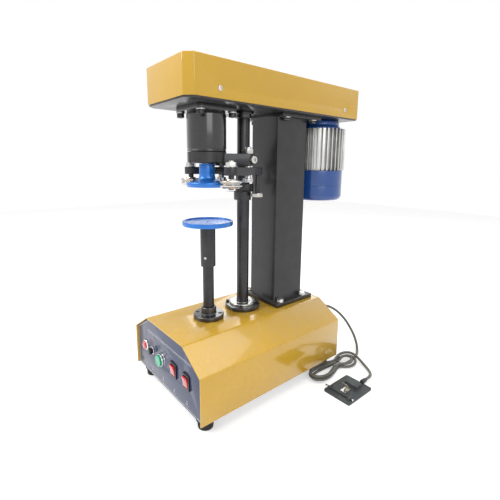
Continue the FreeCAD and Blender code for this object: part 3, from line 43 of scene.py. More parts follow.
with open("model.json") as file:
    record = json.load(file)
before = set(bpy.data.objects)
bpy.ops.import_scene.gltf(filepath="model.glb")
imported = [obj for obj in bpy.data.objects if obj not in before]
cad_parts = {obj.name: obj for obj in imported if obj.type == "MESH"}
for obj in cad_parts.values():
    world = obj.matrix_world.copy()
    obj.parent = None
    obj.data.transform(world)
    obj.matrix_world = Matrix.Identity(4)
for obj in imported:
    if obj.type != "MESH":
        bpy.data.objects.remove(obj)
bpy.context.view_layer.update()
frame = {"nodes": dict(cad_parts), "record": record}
MM = 0.001
SPIN_Y = -93.4
CAM_Y = 10.0
MOTOR_Y = 282.0
FACE_Y = -208.5
CONTROL_Z = 93.0
ROOF_Z = 180.3
PEDAL_X = 237
PIVOT = (51.3, -17.7)
NOSE = (79.5, -86.6)
TAIL = (36.9, 22.7)
CAM_RING = 38.45
ROD_RING = 27.5
LAMP_X = -102
FUSE_X = -67
BUTTON_X = -16.4
ROCKERS = (("power_rocker", 36.5), ("mode_rocker", 90))


# ------------------------------------------------------------------ settings

def colour(name, text, value):
    """A colour setting of the panel."""
    return FloatVectorProperty(name=name, description=text, subtype="COLOR", size=3, min=0, max=1, default=value)


class SeamerColours(bpy.types.PropertyGroup):
    """Colours of the painted and moulded pieces."""
    paint: colour("Paint", "Gloss paint of the base and the lid", (0.66, 0.38, 0.015))
    panel: colour("Panel", "Enamel of the control panel", (0.028, 0.042, 0.105))
    black: colour("Black", "Blackened steel of the column and shafts", (0.022, 0.022, 0.024))
    chuck: colour("Chuck", "Anodised chuck and can plate", (0.008, 0.17, 0.60))
    motor: colour("Motor", "Enamel of the motor's end pieces", (0.012, 0.075, 0.31))
    red: colour("Red", "Rocker switches and lamp lens", (0.72, 0.03, 0.035))
    green: colour("Green", "Start button", (0.01, 0.42, 0.22))
    pedal: colour("Pedal", "Moulded shell of the foot switch", (0.085, 0.105, 0.115))
    cord: colour("Cord", "Jacket of the foot switch's lead", (0.13, 0.125, 0.105))


class SeamerSizes(bpy.types.PropertyGroup):
    """Sizes that finish the pieces."""
    steps: IntProperty(name="Facets", description="Facets round a turned piece", default=96, min=24, max=256)
    soft: FloatProperty(name="Broken edge", description="Width of a broken edge", default=0.0004,
                        min=0.0001, max=0.002, subtype="DISTANCE", unit="LENGTH")
    fold: FloatProperty(name="Fold", description="Radius of the folded sheet's outer bends", default=0.0026,
                        min=0.0005, max=0.006, subtype="DISTANCE", unit="LENGTH")
    ribs: IntProperty(name="Motor ribs", description="Cooling ribs round the motor", default=36, min=12, max=72)
    cord: FloatProperty(name="Cord", description="Diameter of the foot switch's lead", default=0.0068,
                        min=0.003, max=0.012, subtype="DISTANCE", unit="LENGTH")


def sizes():
    return bpy.context.scene.seamer_sizes


def colours():
    return bpy.context.scene.seamer_colours


# ------------------------------------------------------------------ mesh tools

def softened(corners, soft):
    """A closed outline with a small arc in place of each corner that isn't on the axis."""
    result = []
    for index, here in enumerate(corners):
        here = Vector(here)
        back = Vector(corners[index - 1]) - here
        ahead = Vector(corners[(index + 1) % len(corners)]) - here
        if here.x < 1e-4 or back.length < 1e-6 or ahead.length < 1e-6:
            result.append(here)
            continue
        cut = min(soft, 0.4 * back.length, 0.4 * ahead.length)
        enter = here + back.normalized() * cut
        leave = here + ahead.normalized() * cut
        for share in (0, 1 / 3, 2 / 3, 1):
            result.append(enter.lerp(here, share).lerp(here.lerp(leave, share), share))
    return result


def lathe(corners, at=(0, 0), steps=None, soft=0.4, along=None):
    """A turned solid from (radius, height) corners in millimetres; along gives another axis as a matrix."""
    steps = steps or sizes().steps
    outline = softened(corners, soft) if soft else [Vector(c) for c in corners]
    shape = bmesh.new()
    rings = []
    for radius, height in outline:
        if radius < 1e-4:
            rings.append([shape.verts.new((0, 0, height * MM))])
            continue
        ring = []
        for step in range(steps):
            angle = math.tau * step / steps
            ring.append(shape.verts.new((radius * MM * math.cos(angle), radius * MM * math.sin(angle), height * MM)))
        rings.append(ring)
    for first, second in zip(rings, rings[1:] + rings[:1]):
        if len(first) == 1 and len(second) == 1:
            continue
        for step in range(steps):
            after = (step + 1) % steps
            loop = []
            for vertex in (first[step % len(first)], first[after % len(first)],
                           second[after % len(second)], second[step % len(second)]):
                if vertex not in loop:
                    loop.append(vertex)
            shape.faces.new(loop)
    bmesh.ops.remove_doubles(shape, verts=shape.verts, dist=1e-7)
    bmesh.ops.recalc_face_normals(shape, faces=shape.faces)
    shape.transform(along or Matrix.Translation((at[0] * MM, at[1] * MM, 0)))
    return shape


def facing(x, z=CONTROL_Z, y=FACE_Y):
    """Matrix of an axis that points out of the control panel: height becomes the reach towards -Y."""
    return Matrix.Translation((x * MM, y * MM, z * MM)) @ Matrix.Rotation(math.radians(90), 4, "X")


def prism(outline, low, high, place=None):
    """An upright solid from an outline in millimetres."""
    shape = bmesh.new()
    bottom = [shape.verts.new((x * MM, y * MM, low * MM)) for x, y in outline]
    top = [shape.verts.new((x * MM, y * MM, high * MM)) for x, y in outline]
    shape.faces.new(bottom[::-1])
    shape.faces.new(top)
    for index in range(len(outline)):
        after = (index + 1) % len(outline)
        shape.faces.new((bottom[index], bottom[after], top[after], top[index]))
    bmesh.ops.recalc_face_normals(shape, faces=shape.faces)
    if place:
        shape.transform(place)
    return shape


def rounded(corners, radius, steps=6):
    """An outline with arcs of the given radius at its corners."""
    result = []
    for index, here in enumerate(corners):
        here = Vector(here)
        back = (Vector(corners[index - 1]) - here)
        ahead = (Vector(corners[(index + 1) % len(corners)]) - here)
        half = back.angle(ahead) / 2
        reach = min(radius / math.tan(half), 0.49 * back.length, 0.49 * ahead.length)
        bend = reach * math.tan(half)
        middle = here + (back.normalized() + ahead.normalized()).normalized() * (bend / math.sin(half))
        enter = here + back.normalized() * reach - middle
        leave = here + ahead.normalized() * reach - middle
        sweep = enter.angle_signed(leave)
        for step in range(steps + 1):
            result.append(middle + Matrix.Rotation(-sweep * step / steps, 2) @ enter)
    return result


def rectangle(left, right, low, high, radius=0.0, steps=6):
    corners = [(left, low), (right, low), (right, high), (left, high)]
    return rounded(corners, radius, steps) if radius else corners


def link(start, r1, end, r2, steps=48):
    """Outline of two circles joined by their outer tangents."""
    start, end = Vector(start), Vector(end)
    heading = end - start
    base = math.atan2(heading.y, heading.x)
    spread = math.acos((r1 - r2) / heading.length)
    points = []
    for centre, radius, first, last in ((start, r1, base + spread, base + math.tau - spread),
                                        (end, r2, base - spread, base + spread)):
        for step in range(steps + 1):
            angle = first + (last - first) * step / steps
            points.append(centre + Vector((math.cos(angle), math.sin(angle))) * radius)
    return points


def beside(place, side):
    """A place in plan, on the right for a side of 1 and mirrored for -1."""
    return side * place[0], place[1]


def four_round(radius, centre_y):
    """Places in plan of four screws on a circle, cornerwise to the axes."""
    return [(radius * math.cos(angle), centre_y + radius * math.sin(angle))
            for angle in (math.radians(45 + 90 * index) for index in range(4))]


def joined(shapes):
    """Several separate shells as one mesh."""
    whole = bmesh.new()
    for shape in shapes:
        scratch = bpy.data.meshes.new("scratch")
        shape.to_mesh(scratch)
        whole.from_mesh(scratch)
        bpy.data.meshes.remove(scratch)
        shape.free()
    return whole


def scratch_object(shape, name="scratch"):
    mesh = bpy.data.meshes.new(name)
    shape.to_mesh(mesh)
    shape.free()
    item = bpy.data.objects.new(name, mesh)
    bpy.context.scene.collection.objects.link(item)
    return item


def settled(item):
    """The object's evaluated mesh, with every modifier in it."""
    graph = bpy.context.evaluated_depsgraph_get()
    mesh = bpy.data.meshes.new_from_object(item.evaluated_get(graph), depsgraph=graph)
    item.modifiers.clear()
    old = item.data
    item.data = mesh
    if old.users == 0:
        bpy.data.meshes.remove(old)
    return item


def combined(base, others, operation):
    """Boolean of a solid with others, as a new bmesh."""
    item = scratch_object(base)
    tools = [scratch_object(other, "tool") for other in others]
    for tool in tools:
        modifier = item.modifiers.new("cut", "BOOLEAN")
        modifier.operation = operation
        modifier.solver = "EXACT"
        modifier.object = tool
    settled(item)
    shape = bmesh.new()
    shape.from_mesh(item.data)
    for spent in [item] + tools:
        mesh = spent.data
        bpy.data.objects.remove(spent)
        bpy.data.meshes.remove(mesh)
    return shape


def cad_shape(node):
    """A welded copy of a CAD node's mesh, with its flat faces whole."""
    shape = bmesh.new()
    shape.from_mesh(frame["nodes"][node].data)
    bmesh.ops.remove_doubles(shape, verts=shape.verts, dist=2e-6)
    bmesh.ops.dissolve_limit(shape, angle_limit=math.radians(0.4), verts=shape.verts, edges=shape.edges)
    return shape


def piece(name, shape, material, body="frame", stands_for=(), slot=None, soft=None, segments=2, angle=32, bends=()):
    """Breaks the edges of a shape and makes it a piece that rides on a body."""
    for test, width, rows in bends:
        wanted = [edge for edge in shape.edges if edge.is_manifold and edge.calc_face_angle(0) > 0.35 and test(edge)]
        bmesh.ops.bevel(shape, geom=wanted, offset=width, segments=rows, profile=0.5, affect="EDGES",
                        clamp_overlap=False)
    item = scratch_object(shape, name)
    soft = sizes().soft if soft is None else soft
    if soft:
        edge = item.modifiers.new("broken edges", "BEVEL")
        edge.width = soft
        edge.segments = segments
        edge.limit_method = "ANGLE"
        edge.angle_limit = math.radians(angle)
        edge.use_clamp_overlap = False
        edge.miter_outer = "MITER_ARC"
        settled(item)
    item.data.shade_smooth()
    item.data.set_sharp_from_angle(angle=math.radians(40))
    item.name = name
    item.data.name = name
    item.data.materials.clear()
    item.data.materials.append(material)
    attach(item, body)
    if stands_for:
        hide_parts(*stands_for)
    slot = slot or next((s["material_slot"] for s in frame["record"]["subparts"] if s["node"] in stands_for), None)
    return item


def repeated(item, count, centre, material):
    """Mesh of an item repeated round a centre; the item itself goes."""
    with_tree(item, "Ring of Ribs", Count=count, Centre=centre, Finish=material)
    shape = bmesh.new()
    shape.from_mesh(item.data)
    bpy.data.objects.remove(item)
    return shape


def body_of(node):
    return next(body for body, nodes in frame["record"]["behaviour"]["bodies"].items() if node in nodes)


# ------------------------------------------------------------------ shader groups

def add(tree, kind, **values):
    """A node with its settings, and its inputs where a value names one."""
    node = tree.nodes.new("ShaderNode" + kind)
    for name, value in values.items():
        if hasattr(node, name):
            setattr(node, name, value)
        else:
            node.inputs[name].default_value = value
    return node


def group_tree(name, inputs, outputs):
    """A shader group with named float, colour or vector sockets."""
    tree = bpy.data.node_groups.new(name, "ShaderNodeTree")
    kinds = {"f": "NodeSocketFloat", "c": "NodeSocketColor", "v": "NodeSocketVector"}
    for label, kind, value in inputs:
        socket = tree.interface.new_socket(label, in_out="INPUT", socket_type=kinds[kind])
        socket.default_value = value
    for label, kind in outputs:
        tree.interface.new_socket(label, in_out="OUTPUT", socket_type=kinds[kind])
    return tree, tree.nodes.new("NodeGroupInput"), tree.nodes.new("NodeGroupOutput")


def maths(tree, operation, first, second=0.0, clamp=False):
    """A Math node fed by sockets or numbers."""
    node = add(tree, "Math", operation=operation, use_clamp=clamp)
    for socket, value in zip(node.inputs, (first, second)):
        if isinstance(value, (int, float)):
            socket.default_value = value
        else:
            tree.links.new(value, socket)
    return node.outputs[0]


def mapped(tree, value, low, high, to_low, to_high):
    node = add(tree, "MapRange")
    tree.links.new(value, node.inputs["Value"])
    for label, number in (("From Min", low), ("From Max", high), ("To Min", to_low), ("To Max", to_high)):
        node.inputs[label].default_value = number
    return node.outputs["Result"]


def noise(tree, vector, scale, detail=2.0, rough=0.5):
    node = add(tree, "TexNoise", Detail=detail, Roughness=rough)
    tree.links.new(vector, node.inputs["Vector"])
    if isinstance(scale, (int, float)):
        node.inputs["Scale"].default_value = scale
    else:
        tree.links.new(scale, node.inputs["Scale"])
    return node.outputs["Fac"]


def edge_wear_group():
    """Thin broken lines where a finish rubs off its convex edges."""
    tree, given, out = group_tree("Edge Wear", [("Amount", "f", 0.5), ("Scale", "f", 90.0)], [("Mask", "f")])
    place = add(tree, "TexCoord").outputs["Object"]
    sharp = mapped(tree, add(tree, "NewGeometry").outputs["Pointiness"], 0.53, 0.64, 0.0, 1.0)
    patches = mapped(tree, noise(tree, place, given.outputs["Scale"], 4.0, 0.65), 0.46, 0.62, 0.0, 1.0)
    mask = maths(tree, "MULTIPLY", sharp, patches)
    tree.links.new(maths(tree, "MULTIPLY", mask, given.outputs["Amount"], True), out.inputs["Mask"])
    return tree


def paint_skin_group():
    """Orange peel, slow unevenness and fine dust specks of sprayed paint."""
    tree, given, out = group_tree("Paint Skin", [("Peel", "f", 420.0), ("Cloud", "f", 6.0)],
                                  [("Height", "f"), ("Cloud", "f"), ("Speck", "f")])
    place = add(tree, "TexCoord").outputs["Object"]
    peel = noise(tree, place, given.outputs["Peel"], 1.5, 0.4)
    wave = noise(tree, place, 38.0, 1.0, 0.4)
    tree.links.new(maths(tree, "ADD", maths(tree, "MULTIPLY", peel, 0.45), wave), out.inputs["Height"])
    tree.links.new(noise(tree, place, given.outputs["Cloud"], 3.0, 0.55), out.inputs["Cloud"])
    specks = add(tree, "TexVoronoi", Scale=260.0)
    tree.links.new(place, specks.inputs["Vector"])
    tree.links.new(mapped(tree, specks.outputs["Distance"], 0.05, 0.09, 1.0, 0.0), out.inputs["Speck"])
    return tree


def turning_group():
    """Fine tool marks round an upright axis, as a height and as a streak."""
    tree, given, out = group_tree("Turning Marks", [("Centre", "v", (0, 0, 0)), ("Pitch", "f", 1600.0)],
                                  [("Height", "f"), ("Streak", "f")])
    place = add(tree, "TexCoord").outputs["Object"]
    offset = add(tree, "VectorMath", operation="SUBTRACT")
    tree.links.new(place, offset.inputs[0])
    tree.links.new(given.outputs["Centre"], offset.inputs[1])
    flat = add(tree, "VectorMath", operation="MULTIPLY")
    flat.inputs[1].default_value = (1, 1, 0)
    tree.links.new(offset.outputs[0], flat.inputs[0])
    radius = add(tree, "VectorMath", operation="LENGTH")
    tree.links.new(flat.outputs[0], radius.inputs[0])
    parts = add(tree, "SeparateXYZ")
    tree.links.new(offset.outputs[0], parts.inputs[0])
    angle = maths(tree, "MULTIPLY", maths(tree, "ARCTAN2", parts.outputs["Y"], parts.outputs["X"]), 0.00025)
    mix = add(tree, "CombineXYZ")
    tree.links.new(radius.outputs["Value"], mix.inputs["X"])
    tree.links.new(parts.outputs["Z"], mix.inputs["Y"])
    tree.links.new(angle, mix.inputs["Z"])
    tree.links.new(noise(tree, mix.outputs[0], given.outputs["Pitch"], 1.0, 0.4), out.inputs["Height"])
    tree.links.new(noise(tree, mix.outputs[0], 330.0, 2.0, 0.6), out.inputs["Streak"])
    return tree


def grain_group():
    """Pebbled grain of castings and mouldings."""
    tree, given, out = group_tree("Moulded Grain", [("Scale", "f", 900.0)], [("Height", "f"), ("Cloud", "f")])
    place = add(tree, "TexCoord").outputs["Object"]
    cells = add(tree, "TexVoronoi", feature="SMOOTH_F1")
    tree.links.new(place, cells.inputs["Vector"])
    tree.links.new(given.outputs["Scale"], cells.inputs["Scale"])
    fine = noise(tree, place, maths(tree, "MULTIPLY", given.outputs["Scale"], 2.1), 2.0)
    tree.links.new(maths(tree, "ADD", cells.outputs["Distance"], maths(tree, "MULTIPLY", fine, 0.4)),
                   out.inputs["Height"])
    tree.links.new(noise(tree, place, 22.0, 3.0, 0.6), out.inputs["Cloud"])
    return tree


def dust_group():
    """Thin dust on faces that look up."""
    tree, given, out = group_tree("Dust", [("Amount", "f", 0.3)], [("Mask", "f")])
    coordinates = add(tree, "TexCoord")
    parts = add(tree, "SeparateXYZ")
    tree.links.new(coordinates.outputs["Normal"], parts.inputs[0])
    up = mapped(tree, parts.outputs["Z"], 0.55, 1.0, 0.0, 1.0)
    spread = mapped(tree, noise(tree, coordinates.outputs["Object"], 34.0, 6.0, 0.7), 0.42, 0.72, 0.0, 1.0)
    mask = maths(tree, "MULTIPLY", up, spread)
    tree.links.new(maths(tree, "MULTIPLY", mask, given.outputs["Amount"], True), out.inputs["Mask"])
    return tree


GROUPS = {}


def shared(name):
    """The shader group of that name, built once."""
    makers = {"Edge Wear": edge_wear_group, "Paint Skin": paint_skin_group, "Turning Marks": turning_group,
              "Moulded Grain": grain_group, "Dust": dust_group}
    if name not in GROUPS:
        GROUPS[name] = makers[name]()
    return GROUPS[name]


def use(tree, name, **values):
    """A shared group placed in a material with its own values."""
    node = tree.nodes.new("ShaderNodeGroup")
    node.node_tree = shared(name)
    for label, value in values.items():
        node.inputs[label].default_value = value
    return node


def blended(tree, first, second, factor, mode="MIX"):
    """A colour mix of sockets or plain colours."""
    node = add(tree, "Mix", data_type="RGBA", blend_type=mode)
    for socket, value in ((node.inputs["Factor"], factor), (node.inputs[6], first), (node.inputs[7], second)):
        if isinstance(value, (int, float)):
            socket.default_value = value
        elif isinstance(value, bpy.types.NodeSocket):
            tree.links.new(value, socket)
        else:
            socket.default_value = (*tuple(value)[:3], 1.0)
    return node.outputs[2]


def raised(tree, height, distance, strength=1.0):
    """Normal of a bump from a height between 0 and 1."""
    node = add(tree, "Bump", Strength=strength, Distance=distance)
    tree.links.new(height, node.inputs["Height"])
    return node.outputs["Normal"]


def shader(name, **values):
    """A new material: its tree and its Principled node, with plain sockets set."""
    material = bpy.data.materials.new(name)
    material.use_nodes = True
    tree = material.node_tree
    surface = tree.nodes["Principled BSDF"]
    for label, value in values.items():
        surface.inputs[label.replace("_", " ")].default_value = value
    return material, tree, surface


# ------------------------------------------------------------------ materials

def gloss_paint(name, base, coat=0.7, rough=0.24, wear=0.35, peel=420.0):
    """Sprayed enamel with orange peel, faint clouds and rubbed edges."""
    material, tree, surface = shader(name, Coat_Weight=coat, Coat_Roughness=0.06, IOR=1.5)
    skin = use(tree, "Paint Skin", Peel=peel)
    worn = use(tree, "Edge Wear", Amount=wear)
    dust = use(tree, "Dust", Amount=0.10)
    base = Vector(tuple(base))
    tone = blended(tree, base * 0.93, base * 1.05, mapped(tree, skin.outputs["Cloud"], 0.3, 0.7, 0.0, 1.0))
    tone = blended(tree, tone, base * 1.35 + Vector((0.03, 0.03, 0.03)), worn.outputs["Mask"])
    tone = blended(tree, tone, (0.62, 0.60, 0.55), dust.outputs["Mask"])
    tree.links.new(tone, surface.inputs["Base Color"])
    level = mapped(tree, skin.outputs["Cloud"], 0.3, 0.7, rough - 0.03, rough + 0.05)
    level = maths(tree, "ADD", level, maths(tree, "MULTIPLY", dust.outputs["Mask"], 0.3))
    tree.links.new(level, surface.inputs["Roughness"])
    tree.links.new(raised(tree, skin.outputs["Height"], 0.00022, 0.35), surface.inputs["Normal"])
    return material


def black_steel(name, base, rough, centre=None, shine=0.0, wear=0.5, metal=0.35):
    """Blackened steel: turned parts show tool marks, and edges rub bright."""
    material, tree, surface = shader(name, Coat_Weight=shine, Coat_Roughness=0.1, Specular_IOR_Level=0.6)
    base = Vector(tuple(base))
    worn = use(tree, "Edge Wear", Amount=wear, Scale=140.0)
    grain = use(tree, "Moulded Grain", Scale=1400.0)
    dust = use(tree, "Dust", Amount=0.14)
    tone = blended(tree, base * 0.8, base * 1.3, mapped(tree, grain.outputs["Cloud"], 0.3, 0.7, 0.0, 1.0))
    tone = blended(tree, tone, (0.20, 0.19, 0.18), worn.outputs["Mask"])
    tone = blended(tree, tone, (0.30, 0.29, 0.27), dust.outputs["Mask"])
    tree.links.new(tone, surface.inputs["Base Color"])
    tree.links.new(maths(tree, "ADD", maths(tree, "MULTIPLY", worn.outputs["Mask"], 0.6), metal, True),
                   surface.inputs["Metallic"])
    level = mapped(tree, grain.outputs["Cloud"], 0.3, 0.7, rough - 0.05, rough + 0.06)
    if centre is None:
        height = grain.outputs["Height"]
        depth = 0.00005
    else:
        turning = use(tree, "Turning Marks", Centre=(centre[0] * MM, centre[1] * MM, 0))
        height = turning.outputs["Height"]
        depth = 0.00006
        level = maths(tree, "ADD", level, mapped(tree, turning.outputs["Streak"], 0.3, 0.7, -0.05, 0.06))
    tree.links.new(level, surface.inputs["Roughness"])
    tree.links.new(raised(tree, height, depth, 0.5), surface.inputs["Normal"])
    return material


def bright_metal(name, base, rough, centre=None, tint=None, marks=0.5):
    """Machined metal with tool marks round its axis, or a fine grain, and slight staining."""
    material, tree, surface = shader(name, Metallic=1.0)
    base = Vector(tuple(base))
    grain = use(tree, "Moulded Grain", Scale=1700.0)
    tone = blended(tree, base * 0.84, base * 1.06, mapped(tree, grain.outputs["Cloud"], 0.3, 0.7, 0.0, 1.0))
    level = mapped(tree, grain.outputs["Cloud"], 0.3, 0.7, rough - 0.05, rough + 0.08)
    height = grain.outputs["Height"]
    if centre is not None:
        turning = use(tree, "Turning Marks", Centre=(centre[0] * MM, centre[1] * MM, 0), Pitch=1300.0)
        height = turning.outputs["Height"]
        streak = mapped(tree, turning.outputs["Streak"], 0.35, 0.65, 0.0, 1.0)
        tone = blended(tree, tone, base * 0.72, maths(tree, "MULTIPLY", streak, 0.35))
        level = maths(tree, "ADD", level, maths(tree, "MULTIPLY", streak, 0.08))
    if tint is not None:
        stain = mapped(tree, grain.outputs["Cloud"], 0.45, 0.65, 0.0, 0.8)
        tone = blended(tree, tone, tint, stain)
    tree.links.new(tone, surface.inputs["Base Color"])
    tree.links.new(level, surface.inputs["Roughness"])
    tree.links.new(raised(tree, height, 0.00006, marks), surface.inputs["Normal"])
    return material


def anodised(name, base, centre):
    """Dyed aluminium over turning marks, paler where edges are rubbed."""
    material, tree, surface = shader(name, Coat_Weight=0.55, Coat_Roughness=0.12)
    base = Vector(tuple(base))
    turning = use(tree, "Turning Marks", Centre=(centre[0] * MM, centre[1] * MM, 0), Pitch=1100.0)
    worn = use(tree, "Edge Wear", Amount=0.8, Scale=160.0)
    dust = use(tree, "Dust", Amount=0.12)
    streak = mapped(tree, turning.outputs["Streak"], 0.35, 0.65, 0.0, 1.0)
    tone = blended(tree, base * 0.82, base * 1.15 + Vector((0.004, 0.01, 0.02)), streak)
    tone = blended(tree, tone, (0.30, 0.52, 0.80), worn.outputs["Mask"])
    tone = blended(tree, tone, (0.45, 0.50, 0.55), dust.outputs["Mask"])
    tree.links.new(tone, surface.inputs["Base Color"])
    tree.links.new(maths(tree, "SUBTRACT", 0.42, maths(tree, "MULTIPLY", dust.outputs["Mask"], 0.4), True),
                   surface.inputs["Metallic"])
    tree.links.new(mapped(tree, turning.outputs["Streak"], 0.3, 0.7, 0.26, 0.40), surface.inputs["Roughness"])
    tree.links.new(raised(tree, turning.outputs["Height"], 0.00008, 0.5), surface.inputs["Normal"])
    return material


def moulded(name, base, rough=0.5, scale=900.0, depth=0.00010, coat=0.0, wear=0.25, dust=0.12):
    """Moulded plastic or rubber with a pebbled grain."""
    material, tree, surface = shader(name, Coat_Weight=coat, Coat_Roughness=0.08)
    base = Vector(tuple(base))
    grain = use(tree, "Moulded Grain", Scale=scale)
    worn = use(tree, "Edge Wear", Amount=wear)
    dirt = use(tree, "Dust", Amount=dust)
    tone = blended(tree, base * 0.88, base * 1.12, mapped(tree, grain.outputs["Cloud"], 0.3, 0.7, 0.0, 1.0))
    tone = blended(tree, tone, base * 1.8 + Vector((0.02, 0.02, 0.02)), worn.outputs["Mask"])
    tone = blended(tree, tone, (0.42, 0.40, 0.37), dirt.outputs["Mask"])
    tree.links.new(tone, surface.inputs["Base Color"])
    level = mapped(tree, grain.outputs["Cloud"], 0.3, 0.7, rough - 0.05, rough + 0.07)
    tree.links.new(maths(tree, "ADD", level, maths(tree, "MULTIPLY", dirt.outputs["Mask"], 0.25)),
                   surface.inputs["Roughness"])
    tree.links.new(raised(tree, grain.outputs["Height"], depth, 0.5), surface.inputs["Normal"])
    return material


def printed(name, base):
    """Screen-printed ink, slightly uneven."""
    material, tree, surface = shader(name, Coat_Weight=0.2)
    place = add(tree, "TexCoord").outputs["Object"]
    ink = noise(tree, place, 500.0, 3.0, 0.6)
    base = Vector(tuple(base))
    tree.links.new(blended(tree, base * 0.86, base * 1.05, ink), surface.inputs["Base Color"])
    tree.links.new(mapped(tree, ink, 0.3, 0.7, 0.38, 0.52), surface.inputs["Roughness"])
    return material


FINISHES = {}


def finish(name):
    return FINISHES[name]


def make_finishes():
    """Every material, built from the panel's colours."""
    c = colours()
    spindle, cam = (0, SPIN_Y), (0, CAM_Y)
    steel = (0.60, 0.59, 0.575)
    FINISHES.update({
        "paint": gloss_paint("gloss_paint", c.paint),
        "panel": gloss_paint("panel_enamel", c.panel, coat=0.35, rough=0.36, wear=0.2, peel=700.0),
        "column": black_steel("column_black", c.black, 0.36, shine=0.25, wear=0.55),
        "plate": black_steel("plate_black", c.black, 0.30, shine=0.3, wear=0.55),
        "housing": black_steel("housing_black", Vector(tuple(c.black)) * 0.7, 0.20, spindle, shine=0.8, wear=0.5),
        "shaft": black_steel("shaft_black", Vector(tuple(c.black)) * 1.5, 0.30, cam, shine=0.1, wear=0.5, metal=0.6),
        "lift": black_steel("lifter_black", Vector(tuple(c.black)) * 1.4, 0.30, spindle, shine=0.1, metal=0.6),
        "arm": black_steel("arm_black", Vector(tuple(c.black)) * 0.9, 0.34, shine=0.15, wear=0.9),
        "screw": black_steel("screw_black", Vector(tuple(c.black)) * 0.8, 0.28, shine=0.2, wear=0.9),
        "steel": bright_metal("bright_steel", steel, 0.24),
        "zinc": bright_metal("zinc_plate", (0.66, 0.65, 0.62), 0.30),
        "plain": bright_metal("plain_steel", (0.42, 0.42, 0.42), 0.40),
        "spindle": bright_metal("ground_spindle", steel, 0.18, spindle),
        "cap": bright_metal("turned_cap", steel, 0.26, cam),
        "roller_right": bright_metal("roller_steel_right", steel, 0.16, NOSE, (0.62, 0.50, 0.36)),
        "roller_left": bright_metal("roller_steel_left", steel, 0.16, beside(NOSE, -1), (0.62, 0.50, 0.36)),
        "follow_right": bright_metal("bearing_steel_right", steel, 0.2, TAIL, (0.55, 0.45, 0.36)),
        "follow_left": bright_metal("bearing_steel_left", steel, 0.2, beside(TAIL, -1), (0.55, 0.45, 0.36)),
        "pin": bright_metal("pin_steel", steel, 0.22),
        "chuck": anodised("blue_anodised", c.chuck, spindle),
        "motor": gloss_paint("motor_enamel", c.motor, coat=0.6, rough=0.3, wear=0.3),
        "ribs": bright_metal("cast_ribs", (0.60, 0.60, 0.585), 0.36, marks=0.8),
        "pulley": bright_metal("pulley_aluminium", (0.68, 0.68, 0.68), 0.3, spindle),
        "rubber": moulded("foot_rubber", (0.012, 0.012, 0.012), 0.75, 700.0, 0.00014),
        "belt": moulded("belt_rubber", (0.018, 0.018, 0.018), 0.65, 1100.0, 0.00010, dust=0.05),
        "black": moulded("black_plastic", (0.012, 0.012, 0.014), 0.28, 1500.0, 0.00003, coat=0.4, wear=0.4),
        "red": moulded("red_plastic", c.red, 0.2, 1500.0, 0.00001, coat=0.8, wear=0.1, dust=0.05),
        "lens": moulded("red_lens", Vector(tuple(c.red)) * 0.9, 0.12, 1500.0, 0.00001, coat=1.0, wear=0.0, dust=0.0),
        "green": moulded("green_plastic", c.green, 0.25, 1500.0, 0.00001, coat=0.6, wear=0.1, dust=0.0),
        "pedal": moulded("pedal_grey", c.pedal, 0.50, 1000.0, 0.00012, coat=0.1, wear=0.5),
        "tray": moulded("pedal_tray", Vector(tuple(c.pedal)) * 0.45, 0.55, 1000.0, 0.00010, wear=0.5),
        "cord": moulded("cord_jacket", c.cord, 0.42, 1300.0, 0.00005, coat=0.1, wear=0.0, dust=0.1),
        "tie": moulded("cord_tie", (0.012, 0.012, 0.012), 0.35, 1300.0, 0.00003, wear=0.1),
        "chrome": bright_metal("chrome_ring", (0.72, 0.72, 0.72), 0.12, marks=0.1),
        "brass": bright_metal("brass_pins", (0.72, 0.50, 0.20), 0.25),
        "ink": printed("white_ink", (0.72, 0.73, 0.74)),
    })


# ------------------------------------------------------------------ geometry nodes

def placing_tree():
    """Puts a fastener on each point, pointing along the point's heading."""
    tree = bpy.data.node_groups.new("Placed Fasteners", "GeometryNodeTree")
    face = tree.interface
    face.new_socket("Geometry", in_out="INPUT", socket_type="NodeSocketGeometry")
    face.new_socket("Fastener", in_out="INPUT", socket_type="NodeSocketObject")
    face.new_socket("Finish", in_out="INPUT", socket_type="NodeSocketMaterial")
    face.new_socket("Geometry", in_out="OUTPUT", socket_type="NodeSocketGeometry")
    nodes, links = tree.nodes, tree.links
    given, out = nodes.new("NodeGroupInput"), nodes.new("NodeGroupOutput")
    heading = nodes.new("GeometryNodeInputNamedAttribute")
    heading.data_type = "FLOAT_VECTOR"
    heading.inputs["Name"].default_value = "heading"
    twist = nodes.new("GeometryNodeInputNamedAttribute")
    twist.data_type = "FLOAT"
    twist.inputs["Name"].default_value = "twist"
    aimed = nodes.new("FunctionNodeAlignRotationToVector")
    aimed.axis = "Z"
    spun = nodes.new("FunctionNodeAxisAngleToRotation")
    spun.inputs["Axis"].default_value = (0, 0, 1)
    turned = nodes.new("FunctionNodeRotateRotation")
    turned.rotation_space = "LOCAL"
    thing = nodes.new("GeometryNodeObjectInfo")
    placed = nodes.new("GeometryNodeInstanceOnPoints")
    real = nodes.new("GeometryNodeRealizeInstances")
    coat = nodes.new("GeometryNodeSetMaterial")
    links.new(heading.outputs["Attribute"], aimed.inputs["Vector"])
    links.new(twist.outputs["Attribute"], spun.inputs["Angle"])
    links.new(aimed.outputs["Rotation"], turned.inputs["Rotation"])
    links.new(spun.outputs["Rotation"], turned.inputs["Rotate By"])
    links.new(given.outputs["Fastener"], thing.inputs["Object"])
    links.new(given.outputs["Geometry"], placed.inputs["Points"])
    links.new(thing.outputs["Geometry"], placed.inputs["Instance"])
    links.new(turned.outputs["Rotation"], placed.inputs["Rotation"])
    links.new(placed.outputs["Instances"], real.inputs["Geometry"])
    links.new(real.outputs["Geometry"], coat.inputs["Geometry"])
    links.new(given.outputs["Finish"], coat.inputs["Material"])
    links.new(coat.outputs["Geometry"], out.inputs["Geometry"])
    return tree


